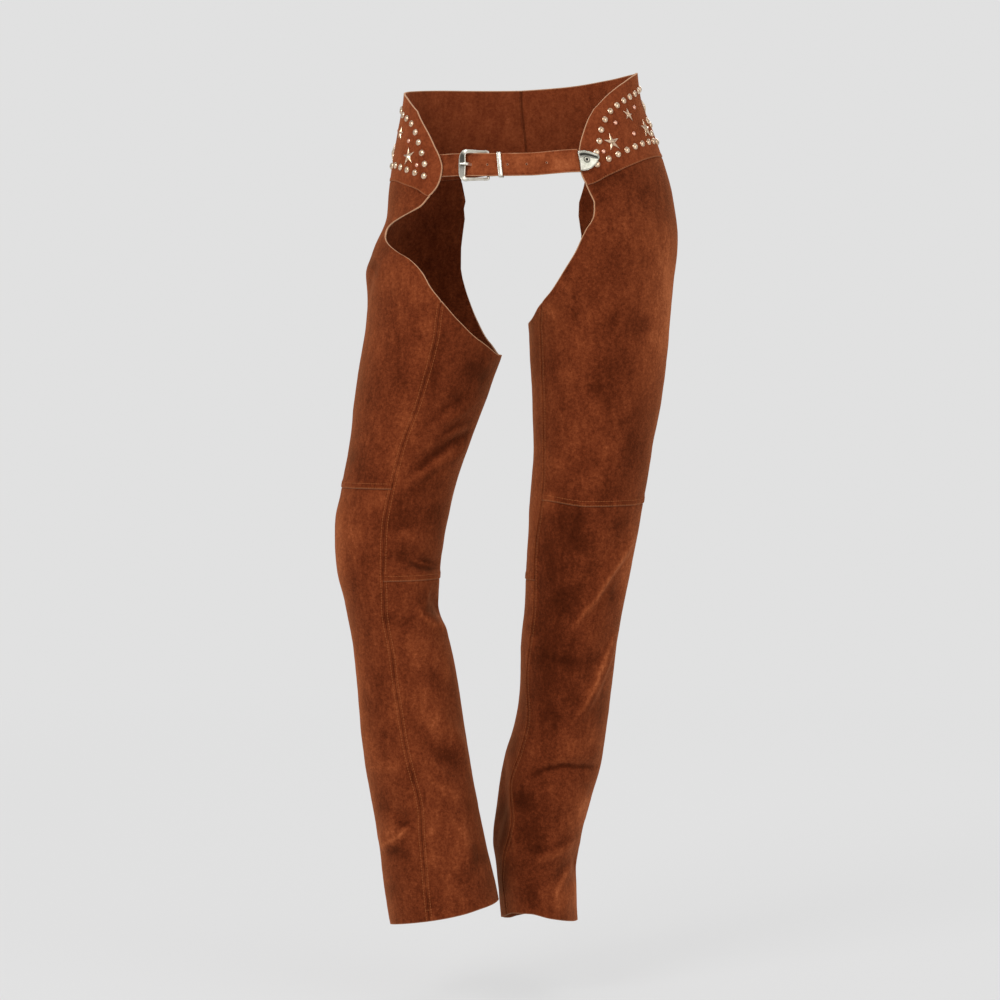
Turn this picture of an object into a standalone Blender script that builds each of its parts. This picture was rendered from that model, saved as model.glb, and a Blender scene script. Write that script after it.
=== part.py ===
"""Worn suede chaps: two full-length legs, a studded hip yoke in two halves and a buckled belt.

Metres, +Z up. The wearer faces -Y and the wearer's left is +X. The origin is the middle of the waist,
level with the belt.

Every leather piece is a patch of one of two wrapping surfaces, one for each half of the garment. A place
on such a surface is an angle round its section and a height. The angle is 0 in front, 90 at the outer
side, 180 at the back and 270 (or -90) at the inner side.
"""

import math
from collections import namedtuple

import bmesh
import bpy
import numpy as np
from mathutils import Matrix, Vector

SUEDE = 0.0020  # thickness of the leg panels
YOKE = 0.0022  # thickness of the yoke
SEAM_GAP = 0.0003  # between pieces that are sewn edge to edge
STUD_GAP = 0.0006  # between a stud's flat base and the curved leather under it
BELT_WIDTH = 0.0274
BILLET = 0.0028  # thickness of the belt's long end
BUCKLE_STRAP = 0.0022  # thickness of the strap that is folded round the buckle's bar

Section = namedtuple("Section", "height outer inner front back")
Fold = namedtuple("Fold", "path width lift")
Turn = namedtuple("Turn", "height angle")
Rise = namedtuple("Rise", "angle height")
BentRow = namedtuple("BentRow", "base reach line")
Cut = namedtuple(
    "Cut",
    "rows fork front_knee back_knee inseam outseam opening seat yoke_front yoke_top bent_rows",
)
Star = namedtuple("Star", "angle height radius turn")
Stop = namedtuple("Stop", "angle out")
Station = namedtuple("Station", "angle out half_width middle")
Round = namedtuple("Round", "angle up out half_width half_depth")

# How far the leather stands from the body's middle line: to the outer and inner side, and front and back.
WAIST_RING = (
    Section(0.120, 0.145, -0.143, -0.098, 0.098),
    Section(0.080, 0.150, -0.145, -0.104, 0.105),
    Section(0.040, 0.165, -0.152, -0.110, 0.113),
    Section(0.000, 0.179, -0.159, -0.114, 0.120),
    Section(-0.040, 0.190, -0.164, -0.117, 0.127),
)
# The left leg bears the weight: nearly straight, and leaning in towards the ankle.
LEFT_LEG = (
    Section(-0.095, 0.197, -0.085, -0.118, 0.130),
    Section(-0.150, 0.191, -0.022, -0.109, 0.115),
    Section(-0.200, 0.186, 0.010, -0.100, 0.100),
    Section(-0.250, 0.182, 0.013, -0.094, 0.092),
    Section(-0.300, 0.176, 0.016, -0.088, 0.086),
    Section(-0.350, 0.166, 0.017, -0.082, 0.078),
    Section(-0.400, 0.158, 0.014, -0.079, 0.071),
    Section(-0.450, 0.149, 0.011, -0.075, 0.065),
    Section(-0.500, 0.140, 0.008, -0.070, 0.064),
    Section(-0.550, 0.130, 0.006, -0.063, 0.069),
    Section(-0.600, 0.122, 0.002, -0.058, 0.078),
    Section(-0.650, 0.116, 0.001, -0.054, 0.088),
    Section(-0.700, 0.110, -0.006, -0.050, 0.094),
    Section(-0.750, 0.103, -0.021, -0.046, 0.098),
    Section(-0.800, 0.090, -0.029, -0.044, 0.102),
    Section(-0.850, 0.077, -0.034, -0.045, 0.107),
    Section(-0.890, 0.071, -0.029, -0.047, 0.113),
    Section(-0.970, 0.074, -0.022, -0.051, 0.119),
)
# The right leg is turned out and stands a little forward, with a bent knee.
RIGHT_LEG = (
    Section(-0.065, -0.166, 0.150, -0.119, 0.129),
    Section(-0.110, -0.184, 0.088, -0.114, 0.122),
    Section(-0.138, -0.192, 0.048, -0.112, 0.116),
    Section(-0.165, -0.190, 0.016, -0.110, 0.110),
    Section(-0.205, -0.193, -0.011, -0.106, 0.100),
    Section(-0.250, -0.200, -0.026, -0.104, 0.088),
    Section(-0.300, -0.207, -0.044, -0.103, 0.075),
    Section(-0.350, -0.212, -0.063, -0.104, 0.062),
    Section(-0.400, -0.221, -0.080, -0.107, 0.049),
    Section(-0.450, -0.229, -0.091, -0.108, 0.038),
    Section(-0.500, -0.227, -0.098, -0.105, 0.031),
    Section(-0.545, -0.218, -0.101, -0.100, 0.028),
    Section(-0.600, -0.207, -0.086, -0.094, 0.031),
    Section(-0.650, -0.202, -0.077, -0.093, 0.035),
    Section(-0.700, -0.198, -0.069, -0.092, 0.038),
    Section(-0.750, -0.193, -0.061, -0.092, 0.040),
    Section(-0.800, -0.184, -0.052, -0.092, 0.040),
    Section(-0.850, -0.176, -0.042, -0.093, 0.039),
    Section(-0.900, -0.170, -0.030, -0.095, 0.039),
    Section(-0.970, -0.158, -0.014, -0.099, 0.039),
)

# Folds: a path of (angle, height) places, the ridge's half width, and how far it stands out or sinks in.
LEFT_FOLDS = (
    Fold(((69, -0.460), (37, -0.499), (6, -0.562)), 0.012, 0.0045),
    Fold(((71, -0.588), (43, -0.642), (19, -0.693)), 0.012, 0.0040),
    Fold(((62, -0.500), (52, -0.540)), 0.014, -0.0025),
    Fold(((-22, -0.766), (-2, -0.751), (69, -0.757)), 0.011, -0.0040),
    Fold(((10, -0.790), (60, -0.795)), 0.014, 0.0030),
    Fold(((-5, -0.862), (55, -0.848)), 0.012, 0.0030),
    Fold(((64, -0.868), (80, -0.880)), 0.012, -0.0030),
    Fold(((70, -0.905), (31, -0.925)), 0.014, 0.0030),
    Fold(((-80, -0.735), (-62, -0.800), (-75, -0.860)), 0.014, -0.0030),
)
RIGHT_FOLDS = (
    Fold(((-70, -0.334), (-30, -0.355), (-8, -0.379)), 0.011, -0.0035),
    Fold(((-78, -0.352), (-36, -0.376), (-14, -0.396)), 0.011, 0.0030),
    Fold(((-52, -0.305), (-20, -0.330)), 0.011, 0.0025),
    Fold(((-15, -0.473), (-35, -0.491), (-85, -0.500)), 0.010, -0.0045),
    Fold(((-56, -0.532), (-90, -0.552)), 0.013, -0.0050),
    Fold(((-39, -0.543), (-47, -0.563), (-92, -0.583)), 0.011, 0.0035),
    Fold(((-27, -0.671), (-73, -0.737)), 0.014, 0.0035),
    Fold(((1, -0.696), (-28, -0.733), (-60, -0.760)), 0.014, -0.0030),
    Fold(((-38, -0.818), (-42, -0.854), (-25, -0.881)), 0.013, 0.0030),
    Fold(((70, -0.845), (18, -0.812)), 0.011, 0.0040),
    Fold(((40, -0.800), (20, -0.806)), 0.011, -0.0025),
)


class Curve:
    """A smooth curve through rows of (place, value, ...). It never swings past its own points."""

    def __init__(self, *rows):
        rows = sorted(tuple(row) for row in rows)
        self.places = np.array([row[0] for row in rows])
        self.values = np.array([row[1:] for row in rows])
        rates = np.diff(self.values, axis=0) / np.diff(self.places)[:, None]
        self.slopes = np.zeros_like(self.values)
        self.slopes[0], self.slopes[-1] = rates[0], rates[-1]
        before, after = rates[:-1], rates[1:]
        same_way = before * after > 0
        total = np.where(same_way, before + after, 1)
        self.slopes[1:-1] = np.where(same_way, 2 * before * after / total, 0)

    def at(self, place):
        place = min(max(place, self.places[0]), self.places[-1])
        k = min(max(int(np.searchsorted(self.places, place)) - 1, 0), len(self.places) - 2)
        span = self.places[k + 1] - self.places[k]
        t = (place - self.places[k]) / span
        value = (
            (2 * t**3 - 3 * t**2 + 1) * self.values[k]
            + (t**3 - 2 * t**2 + t) * span * self.slopes[k]
            + (3 * t**2 - 2 * t**3) * self.values[k + 1]
            + (t**3 - t**2) * span * self.slopes[k + 1]
        )
        return value if len(value) > 1 else float(value[0])


def rows_between(*marks):
    """Row heights from (height, rows above it) marks, evenly spaced from each mark to the next."""
    heights = [marks[0][0]]
    for height, count in marks[1:]:
        top = heights[-1]
        heights += [top + (height - top) * k / count for k in range(1, count)] + [height]
    return heights


LEFT_CUT = Cut(
    rows=rows_between((0.0075, 0), (-0.176, 10), (-0.4225, 10), (-0.518, 4), (-0.945, 18)),
    fork=-0.176,
    front_knee=-0.4225,
    back_knee=-0.518,
    inseam=Curve(
        Turn(-0.176, -46), Turn(-0.205, -57), Turn(-0.350, -57), Turn(-0.410, -53), Turn(-0.480, -58),
        Turn(-0.580, -54), Turn(-0.640, -60), Turn(-0.700, -47), Turn(-0.735, -46), Turn(-0.772, -52),
        Turn(-0.825, -38), Turn(-0.905, -59), Turn(-0.945, -57),
    ),
    outseam=Curve(Turn(0.008, 100), Turn(-0.200, 106), Turn(-0.450, 112), Turn(-0.945, 114)),
    opening=Curve(
        Turn(-0.033, 22.5), Turn(-0.052, 24), Turn(-0.061, 22.5), Turn(-0.070, 20), Turn(-0.078, 16.5),
        Turn(-0.087, 11.5), Turn(-0.115, -1), Turn(-0.135, -12.5), Turn(-0.160, -29.5), Turn(-0.176, -46),
    ),
    seat=Curve(
        Rise(152, 0.004), Rise(157, -0.030), Rise(163, -0.065), Rise(172, -0.100), Rise(186, -0.135),
        Rise(204, -0.165), Rise(228, -0.190), Rise(256, -0.202), Rise(284, -0.197), Rise(314, -0.176),
    ),
    yoke_front=Curve(
        Turn(-0.033, 22.5), Turn(-0.018, 21), Turn(-0.001, 21), Turn(0.015, 22.5), Turn(0.029, 25),
        Turn(0.046, 29), Turn(0.060, 34),
    ),
    yoke_top=Curve(
        Rise(34, 0.060), Rise(46, 0.080), Rise(57, 0.093), Rise(74, 0.106), Rise(92, 0.1115),
        Rise(106, 0.1115), Rise(130, 0.108), Rise(155, 0.102), Rise(180, 0.098),
    ),
    bent_rows=(
        BentRow(0.0075, 0.06, Curve(
            Rise(-100, 0.0075), Rise(-20, -0.023), Rise(22.5, -0.033), Rise(34, -0.0205), Rise(47, -0.0075),
            Rise(62, 0.0025), Rise(74, 0.006), Rise(100, 0.0075), Rise(140, 0.004), Rise(180, -0.005),
            Rise(260, 0.0075),
        )),
        BentRow(-0.4225, 0.03, Curve(
            Rise(-100, -0.4225), Rise(-50, -0.4185), Rise(0, -0.425), Rise(50, -0.4245), Rise(97, -0.4225),
            Rise(260, -0.4225),
        )),
        BentRow(-0.945, 0.07, Curve(
            Rise(-100, -0.953), Rise(-65, -0.943), Rise(-41, -0.935), Rise(-13, -0.933), Rise(16, -0.939),
            Rise(82, -0.952), Rise(140, -0.957), Rise(230, -0.960), Rise(260, -0.953),
        )),
    ),
)
RIGHT_CUT = Cut(
    rows=rows_between((-0.022, 0), (-0.174, 14), (-0.4025, 9), (-0.515, 5), (-0.943, 18)),
    fork=-0.174,
    front_knee=-0.4025,
    back_knee=-0.515,
    inseam=Curve(
        Turn(-0.174, 3), Turn(-0.225, -2), Turn(-0.290, -1), Turn(-0.360, 5), Turn(-0.515, 4.5),
        Turn(-0.590, 11), Turn(-0.630, 11.5), Turn(-0.710, 9), Turn(-0.790, 3), Turn(-0.830, 7),
        Turn(-0.900, 12), Turn(-0.943, 15),
    ),
    outseam=Curve(
        Turn(-0.022, 100), Turn(-0.100, 108), Turn(-0.200, 130), Turn(-0.300, 148), Turn(-0.400, 160),
        Turn(-0.943, 172),
    ),
    opening=Curve(
        Turn(-0.0455, 44.5), Turn(-0.057, 47.5), Turn(-0.064, 53.5), Turn(-0.071, 62), Turn(-0.077, 69),
        Turn(-0.083, 72.5), Turn(-0.091, 70), Turn(-0.0985, 64.5), Turn(-0.113, 48), Turn(-0.1225, 36),
        Turn(-0.136, 25), Turn(-0.158, 13.5), Turn(-0.174, 3),
    ),
    seat=Curve(
        Rise(150, -0.017), Rise(154, -0.050), Rise(161, -0.085), Rise(172, -0.120), Rise(187, -0.155),
        Rise(206, -0.190), Rise(230, -0.222), Rise(258, -0.239), Rise(284, -0.239), Rise(321, -0.221),
        Rise(345, -0.197), Rise(363, -0.174),
    ),
    yoke_front=Curve(
        Turn(-0.0455, 44.5), Turn(-0.033, 40.5), Turn(-0.022, 39), Turn(-0.011, 38.5), Turn(0.001, 40),
        Turn(0.013, 43), Turn(0.029, 47.5), Turn(0.060, 59.5),
    ),
    yoke_top=Curve(
        Rise(59.5, 0.060), Rise(68, 0.0705), Rise(77, 0.0795), Rise(90, 0.086), Rise(110, 0.0915),
        Rise(140, 0.096), Rise(180, 0.098),
    ),
    bent_rows=(
        BentRow(-0.022, 0.06, Curve(
            Rise(-100, -0.022), Rise(0, -0.042), Rise(44.5, -0.0455), Rise(52, -0.037), Rise(59.5, -0.0315),
            Rise(76, -0.0235), Rise(100, -0.022), Rise(140, -0.017), Rise(180, -0.005), Rise(260, -0.022),
        )),
        BentRow(-0.943, 0.07, Curve(
            Rise(-100, -0.918), Rise(-86, -0.917), Rise(-46, -0.9205), Rise(-21, -0.926), Rise(11, -0.933),
            Rise(98, -0.949), Rise(140, -0.953), Rise(180, -0.949), Rise(220, -0.933), Rise(260, -0.918),
        )),
    ),
)

FRONT_COLUMNS = 12
BACK_COLUMNS = 20
YOKE_ROWS = 6
FAN_GAP = 0.007  # a row this close under a column's top is left out

BIG_STAR, SMALL_STAR = 0.0117, 0.0084  # from the middle to a point
STAR_WAIST = 0.42  # share of that reach at the inner corners
STAR_RIM, STAR_PEAK = 0.0006, 0.0026  # heights over the stud's base
LEFT_STARS = (
    Star(39, 0.0197, BIG_STAR, 8),
    Star(55.5, 0.0550, SMALL_STAR, -10),
    Star(68.5, 0.0390, BIG_STAR, 0),
    Star(86, 0.0690, SMALL_STAR, 14),
    Star(101, 0.0450, BIG_STAR, -8),
    Star(119, 0.0690, SMALL_STAR, 10),
    Star(134, 0.0420, BIG_STAR, 0),
    Star(152, 0.0650, SMALL_STAR, -12),
    Star(168, 0.0400, BIG_STAR, 8),
)
RIGHT_STARS = (
    Star(61, 0.0046, BIG_STAR, -8),
    Star(74.5, 0.0345, SMALL_STAR, 10),
    Star(88, 0.0120, BIG_STAR, 0),
    Star(103, 0.0450, SMALL_STAR, -10),
    Star(119, 0.0220, BIG_STAR, 8),
    Star(136, 0.0520, SMALL_STAR, -8),
    Star(152, 0.0280, BIG_STAR, 0),
    Star(168, 0.0580, SMALL_STAR, 12),
)


class Half:
    """One half of the garment: a wrapping surface, and the lines that its pieces are cut to."""

    def __init__(self, name, side, sections, folds=(), cut=None):
        self.name = name
        self.side = side  # 1 for the wearer's left, -1 for the right
        self.sections = Curve(*sections)
        self.folds = folds
        self.cut = cut

    def bare(self, angle, height):
        """The point at that angle and height, before folds."""
        outer, inner, front, back = self.sections.at(height)
        turn = math.radians(angle)
        x = (outer + inner) / 2 + (outer - inner) / 2 * math.sin(turn)
        y = (front + back) / 2 - (back - front) / 2 * math.cos(turn)
        return np.array((x, y, height))

    def spread(self, angle, height):
        """How the point moves for a degree of angle, and for a metre of height."""
        turn, rise = 0.5, 0.001
        across = (self.bare(angle + turn, height) - self.bare(angle - turn, height)) / (2 * turn)
        up = (self.bare(angle, height + rise) - self.bare(angle, height - rise)) / (2 * rise)
        return across, up

    def relief(self, angle, height):
        """How far the folds lift or sink the surface there."""
        lift = 0.0
        for fold in self.folds:
            outer, inner, front, back = self.sections.at(fold.path[0][1])
            metres = math.radians(((outer - inner) * self.side + back - front) / 4)
            path = []
            for place_angle, place_height in fold.path:
                turn = (place_angle - angle + 180) % 360 - 180
                path.append(np.array((turn * metres, place_height - height)))
            lengths = [float(np.linalg.norm(end - start)) for start, end in zip(path, path[1:])]
            nearest, share, travelled = math.inf, 0.0, 0.0
            for start, end, length in zip(path, path[1:], lengths):
                run = min(max(float(-start @ (end - start)) / length**2, 0.0), 1.0)
                away = float(np.linalg.norm(start + (end - start) * run))
                if away < nearest:
                    nearest, share = away, (travelled + run * length) / sum(lengths)
                travelled += length
            fade = 1 - 0.85 * abs(2 * share - 1) ** 3
            lift += fold.lift * fade * math.exp(-((nearest / fold.width) ** 2))
        return lift

    def point(self, angle, height, out=0.0):
        across, up = self.spread(angle, height)
        normal = np.cross(across, up) * self.side
        normal /= np.linalg.norm(normal)
        return self.bare(angle, height) + normal * (self.relief(angle, height) + out)

    def row_height(self, angle, base):
        """The height, at that angle, of the row that crosses the outer seam at height base."""
        angle = (angle + 100) % 360 - 100
        height = base
        for row in self.cut.bent_rows:
            height += (row.line.at(angle) - row.base) * math.exp(-(((base - row.base) / row.reach) ** 2))
        return height

    def row_start(self, base):
        """The angle where a row meets the front opening or, under the fork, the inner seam."""
        if base <= self.cut.fork:
            return self.cut.inseam.at(base)
        angle = self.cut.opening.at(base)
        for _ in range(60):
            angle = (angle + self.cut.opening.at(self.row_height(angle, base))) / 2
        return angle


LEFT = Half("left", 1, WAIST_RING + LEFT_LEG, LEFT_FOLDS, LEFT_CUT)
RIGHT_RING = tuple(Section(row.height, row.inner, row.outer, row.front, row.back) for row in WAIST_RING)
RIGHT = Half("right", -1, RIGHT_RING + RIGHT_LEG, RIGHT_FOLDS, RIGHT_CUT)
WAIST = Half("waist", 1, WAIST_RING)


def material(name, colour, metallic, roughness):
    made = bpy.data.materials.new(name)
    made.use_nodes = True
    shader = made.node_tree.nodes["Principled BSDF"]
    shader.inputs["Base Color"].default_value = (*colour, 1)
    shader.inputs["Metallic"].default_value = metallic
    shader.inputs["Roughness"].default_value = roughness
    return made


def suede(name):
    return material(name + "_suede", (0.16, 0.034, 0.013), 0.0, 0.92)


def silver(name):
    return material(name + "_silver", (0.75, 0.74, 0.70), 1.0, 0.25)


def add_object(name, shape, made_of):
    """Turn a bmesh into an object, its faces outwards and its round surfaces smooth."""
    bmesh.ops.recalc_face_normals(shape, faces=shape.faces)
    mesh = bpy.data.meshes.new(name)
    shape.to_mesh(mesh)
    shape.free()
    mesh.materials.append(made_of)
    mesh.shade_smooth()
    mesh.set_sharp_from_angle(angle=math.radians(35))
    made = bpy.data.objects.new(name, mesh)
    bpy.context.scene.collection.objects.link(made)
    return made


def solid(name, points, faces, made_of):
    shape = bmesh.new()
    verts = [shape.verts.new(Vector(point)) for point in points]
    for face in faces:
        shape.faces.new([verts[k] for k in face])
    return add_object(name, shape, made_of)


def wall(name, outer, inner, faces, made_of):
    """A sheet with two sides: the same faces on outer and inner points, closed along every border."""
    count = len(outer)
    triangles = [(face[0], face[k], face[k + 1]) for face in faces for k in range(1, len(face) - 1)]
    sides = {side for face in faces for side in zip(face, face[1:] + face[:1])}
    closed = triangles + [tuple(k + count for k in reversed(face)) for face in triangles]
    slanted = np.array(outer) @ np.array((0.37, 0.21, 1.0))  # grows along every seam, up or across
    for a, b in sorted(sides):
        if (b, a) in sides:
            continue
        # two neighbours split the end faces along their seam by the same diagonal
        if slanted[a] > slanted[b]:
            closed += [(b, a, a + count), (b, a + count, b + count)]
        else:
            closed += [(b, a, b + count), (a, a + count, b + count)]
    return solid(name, list(outer) + list(inner), closed, made_of)


def panel(half, name, columns, thickness):
    """A leather piece from columns of (angle, height) places that all end on the same lower border.

    Columns may start at different heights: what one has more than the next is fanned to the next's top.
    The whole border is drawn in by half a seam gap.
    """
    index, outer, inner = [], [], []
    for column in columns:
        index.append([len(outer) + k for k in range(len(column))])
        for angle, height in column:
            outer.append(half.point(angle, height))
            inner.append(half.point(angle, height, -thickness))
    shifts = [np.zeros(3) for _ in outer]

    def draw_in(vertex, neighbour):
        step = outer[neighbour] - outer[vertex]
        shifts[vertex] = shifts[vertex] + step / np.linalg.norm(step) * SEAM_GAP / 2

    for this, beside in ((index[0], index[1]), (index[-1], index[-2])):
        for k, vertex in enumerate(this):
            draw_in(vertex, beside[max(k - len(this), -len(beside))])
    for column in index:
        draw_in(column[0], column[1])
        draw_in(column[-1], column[-2])
    outer = [point + shift for point, shift in zip(outer, shifts)]
    inner = [point + shift for point, shift in zip(inner, shifts)]
    faces = []
    for this, beside in zip(index, index[1:]):
        shared = min(len(this), len(beside))
        for k in range(-shared, -1):
            faces.append((this[k], this[k + 1], beside[k + 1], beside[k]))
        for k in range(len(this) - shared):
            faces.append((this[k], this[k + 1], beside[0]))
        for k in range(len(beside) - shared):
            faces.append((this[0], beside[k + 1], beside[k]))
    return wall(name, outer, inner, faces, suede(name))


def front_place(half, base, share):
    """The place a share of the way from the opening or inner seam to the outer seam, on one row."""
    start = half.row_start(base)
    angle = start + (half.cut.outseam.at(base) - start) * share
    return angle, half.row_height(angle, base)


def back_place(half, base, share):
    """The place a share of the way from the outer seam, round the back, to the inner seam."""
    start, end = half.cut.outseam.at(base), half.cut.inseam.at(base) + 360
    angle = start + (end - start) * share
    return angle, half.row_height(angle, base)


def back_top(half, share):
    """The row height where that column of the back meets the yoke seam or the seat's cut."""
    high, low = half.cut.rows[0], half.cut.fork - 0.08
    if share == 1:
        return half.cut.fork
    if back_place(half, high, share)[0] <= half.cut.seat.places[0]:
        return high
    for _ in range(40):
        middle = (high + low) / 2
        angle, height = back_place(half, middle, share)
        if height > half.cut.seat.at(angle):
            high = middle
        else:
            low = middle
    return (high + low) / 2


def add_leg(half):
    cut = half.cut
    shares = [k / FRONT_COLUMNS for k in range(FRONT_COLUMNS + 1)]
    upper = [base for base in cut.rows if base >= cut.front_knee]
    lower = [base for base in cut.rows if base <= cut.front_knee]
    for piece, bases in (("thigh_front", upper), ("shin_front", lower)):
        columns = [[front_place(half, base, share) for base in bases] for share in shares]
        panel(half, half.name + "_" + piece, columns, SUEDE)
    shares = [k / BACK_COLUMNS for k in range(BACK_COLUMNS + 1)]
    thigh = []
    for share in shares:
        top = back_top(half, share)
        under = [base for base in cut.rows if cut.back_knee <= base < top - FAN_GAP]
        thigh.append([back_place(half, base, share) for base in [top] + under])
    panel(half, half.name + "_thigh_back", thigh, SUEDE)
    bases = [base for base in cut.rows if base <= cut.back_knee]
    calf = [[back_place(half, base, share) for base in bases] for share in shares]
    panel(half, half.name + "_calf_back", calf, SUEDE)


def yoke_place(half, share, rise):
    """A place on the yoke: share runs from its front border to mid back, rise from the seam to the top."""
    cut = half.cut
    low, high = cut.yoke_front.places[0], cut.yoke_front.places[-1]
    first, last = cut.opening.at(low), cut.yoke_front.at(high)
    seam_angle, top_angle = first + (180 - first) * share, last + (180 - last) * share
    side = low + (high - low) * rise
    angle = (1 - rise) * seam_angle + rise * top_angle
    angle += (1 - share) * (cut.yoke_front.at(side) - (1 - rise) * first - rise * last)
    height = (1 - rise) * half.row_height(seam_angle, cut.rows[0]) + rise * cut.yoke_top.at(top_angle)
    return angle, height


def add_yoke(half):
    """The yoke's columns stand on those of the leg panels, and go on to the middle of the back."""
    cut = half.cut
    top = cut.rows[0]
    angles = [front_place(half, top, k / FRONT_COLUMNS)[0] for k in range(FRONT_COLUMNS + 1)]
    for k in range(1, BACK_COLUMNS):
        if back_top(half, k / BACK_COLUMNS) == top:
            angles.append(back_place(half, top, k / BACK_COLUMNS)[0])
    seat = cut.seat.places[0]
    angles += [seat + (180 - seat) * k / 3 for k in range(4)]
    first = angles[0]
    columns = []
    for angle in angles:
        share = (angle - first) / (180 - first)
        columns.append([yoke_place(half, share, 1 - k / YOKE_ROWS) for k in range(YOKE_ROWS + 1)])
    panel(half, half.name + "_yoke", columns, YOKE)


def add_star(half, number, star):
    """A five-pointed stud: a low rim and a peak, on a base that follows the yoke."""
    degree = np.linalg.norm(half.spread(star.angle, star.height)[0])
    corners = 10
    points = []
    for out in (STUD_GAP, STUD_GAP + STAR_RIM):
        for k in range(corners):
            reach = star.radius if k % 2 == 0 else star.radius * STAR_WAIST
            turn = math.radians(90 + star.turn + 360 / corners * k)
            angle = star.angle + reach * math.cos(turn) / degree
            points.append(half.point(angle, star.height + reach * math.sin(turn), out))
    base, peak = len(points), len(points) + 1
    points.append(half.point(star.angle, star.height, STUD_GAP))
    points.append(half.point(star.angle, star.height, STUD_GAP + STAR_PEAK))
    faces = []
    for k in range(corners):
        beside = (k + 1) % corners
        faces.append((base, beside, k))
        faces.append((k, beside, corners + beside, corners + k))
        faces.append((corners + k, corners + beside, peak))
    name = "%s_star_%d" % (half.name, number)
    solid(name, points, faces, silver(name))


# Belt places are an angle across the front (negative towards the wearer's right), a height over the
# belt's middle line, and how far they stand out of the yoke's outer surface.
BELT_HEIGHT = -0.006
BELT_LINE = Curve(  # the height of the belt's middle line over each place across, lowest in front
    (-0.110, -0.0088), (-0.085, -0.0080), (-0.060, -0.0084), (-0.0365, -0.0090), (-0.020, -0.0091),
    (0.010, -0.0087), (0.039, -0.0064), (0.060, -0.0047), (0.080, -0.0038), (0.130, -0.0024),
)
DEGREE = 0.00288  # metres along the belt for one degree
HALF_WIDTH = BELT_WIDTH / 2
BAR = Stop(-17.5, -0.0066)  # the middle of the buckle's hidden bar
BAR_RADIUS = 0.0015
BAR_PLAY = 0.0003  # between the bar and what turns on it
BAR_ARM, POST_ARM = 0.0162, 0.0172  # from the buckle's middle to each arm, at its hidden and its front bar
BAR_DROP, POST_DROP = 0.0003, 0.0016  # the buckle hangs a little low on its strap, most at its front bar
POST_ANGLE = -28.1  # the buckle's broad front bar, which the prong rests on
KEEPER_ANGLE, KEEPER_HALF_LENGTH, KEEPER_WALL = -12.2, 0.0026, 0.0012
TIP_PLATE, RIVET_RADIUS, RIVET_HEIGHT = 0.0014, 0.0024, 0.0012

BILLET_PATH = (
    Stop(-58, -0.0050), Stop(-49, -0.0050), Stop(-41, -0.0050), Stop(-37, -0.0048), Stop(-34, -0.0044),
    Stop(-31, -0.0038), Stop(-28.5, -0.0034), Stop(-26.5, -0.0029), Stop(-23, -0.0021), Stop(-20, -0.0012),
    Stop(-17.5, -0.0007), Stop(-15, -0.0006), Stop(-11.5, -0.0006), Stop(-7, -0.0006), Stop(-1, -0.0006),
    Stop(4, -0.0005), Stop(9, 0.0000), Stop(14, 0.0010), Stop(18, 0.0018), Stop(20.1, 0.0019),
)
BILLET_HOLE = {(7, 1)}  # the cell between the path's eighth and ninth stops, in the middle of the width
BILLET_END = (
    Station(21.2, 0.0019, 0.0112, -0.0009),
    Station(22.8, 0.0019, 0.0114, -0.0005),
    Station(24.6, 0.0019, 0.0102, 0.0000),
    Station(26.4, 0.0019, 0.0079, 0.0010),
    Station(28.0, 0.0019, 0.0048, 0.0024),
    Station(29.0, 0.0019, 0.0022, 0.0036),
)
TIP_OUTLINE = (
    Station(20.3, 0.0044, 0.0117, -0.0010),
    Station(21.5, 0.0044, 0.0124, -0.0008),
    Station(22.9, 0.0044, 0.0124, -0.0005),
    Station(24.7, 0.0044, 0.0111, 0.0000),
    Station(26.6, 0.0044, 0.0086, 0.0011),
    Station(28.4, 0.0044, 0.0053, 0.0027),
    Station(29.6, 0.0044, 0.0025, 0.0041),
)
STRAP_PATH = (
    Stop(42, -0.0046), Stop(36, -0.0046), Stop(30, -0.0046), Stop(24, -0.0046), Stop(18, -0.0043),
    Stop(12, -0.0040), Stop(4, -0.0037), Stop(-4, -0.0037), Stop(-12, -0.0037), Stop(-16, -0.0037),
)
STRAP_RETURN = (
    Stop(-16.4, -0.0093), Stop(-15.3, -0.0080), Stop(-14.4, -0.0068), Stop(-13.4, -0.0062), Stop(-8, -0.0062),
    Stop(-4.5, -0.0062),
)
PRONG_PATH = (
    Stop(-19.2, -0.0042), Stop(-20.8, -0.0047), Stop(-22.4, -0.0050), Stop(-23.6, -0.0043),
    Stop(-24.4, -0.0020), Stop(-25.0, 0.0012), Stop(-25.5, 0.0042), Stop(-26.0, 0.0060), Stop(-27.0, 0.0064),
    Stop(-28.8, 0.0061),
)
PRONG, PRONG_HALF_WIDTH = 0.0016, 0.0019


def belt_point(angle, up, out):
    x = WAIST.bare(angle, BELT_HEIGHT)[0]
    return WAIST.point(angle, BELT_LINE.at(x) + up, out)


def round_the_bar(radius, start, end, steps):
    """Stops round the buckle's bar, from one angle to another in the belt's plan. 90 degrees faces out."""
    stops = []
    for k in range(steps + 1):
        turn = math.radians(start + (end - start) * k / steps)
        stops.append(Stop(BAR.angle + radius * math.cos(turn) / DEGREE, BAR.out + radius * math.sin(turn)))
    return stops


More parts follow.
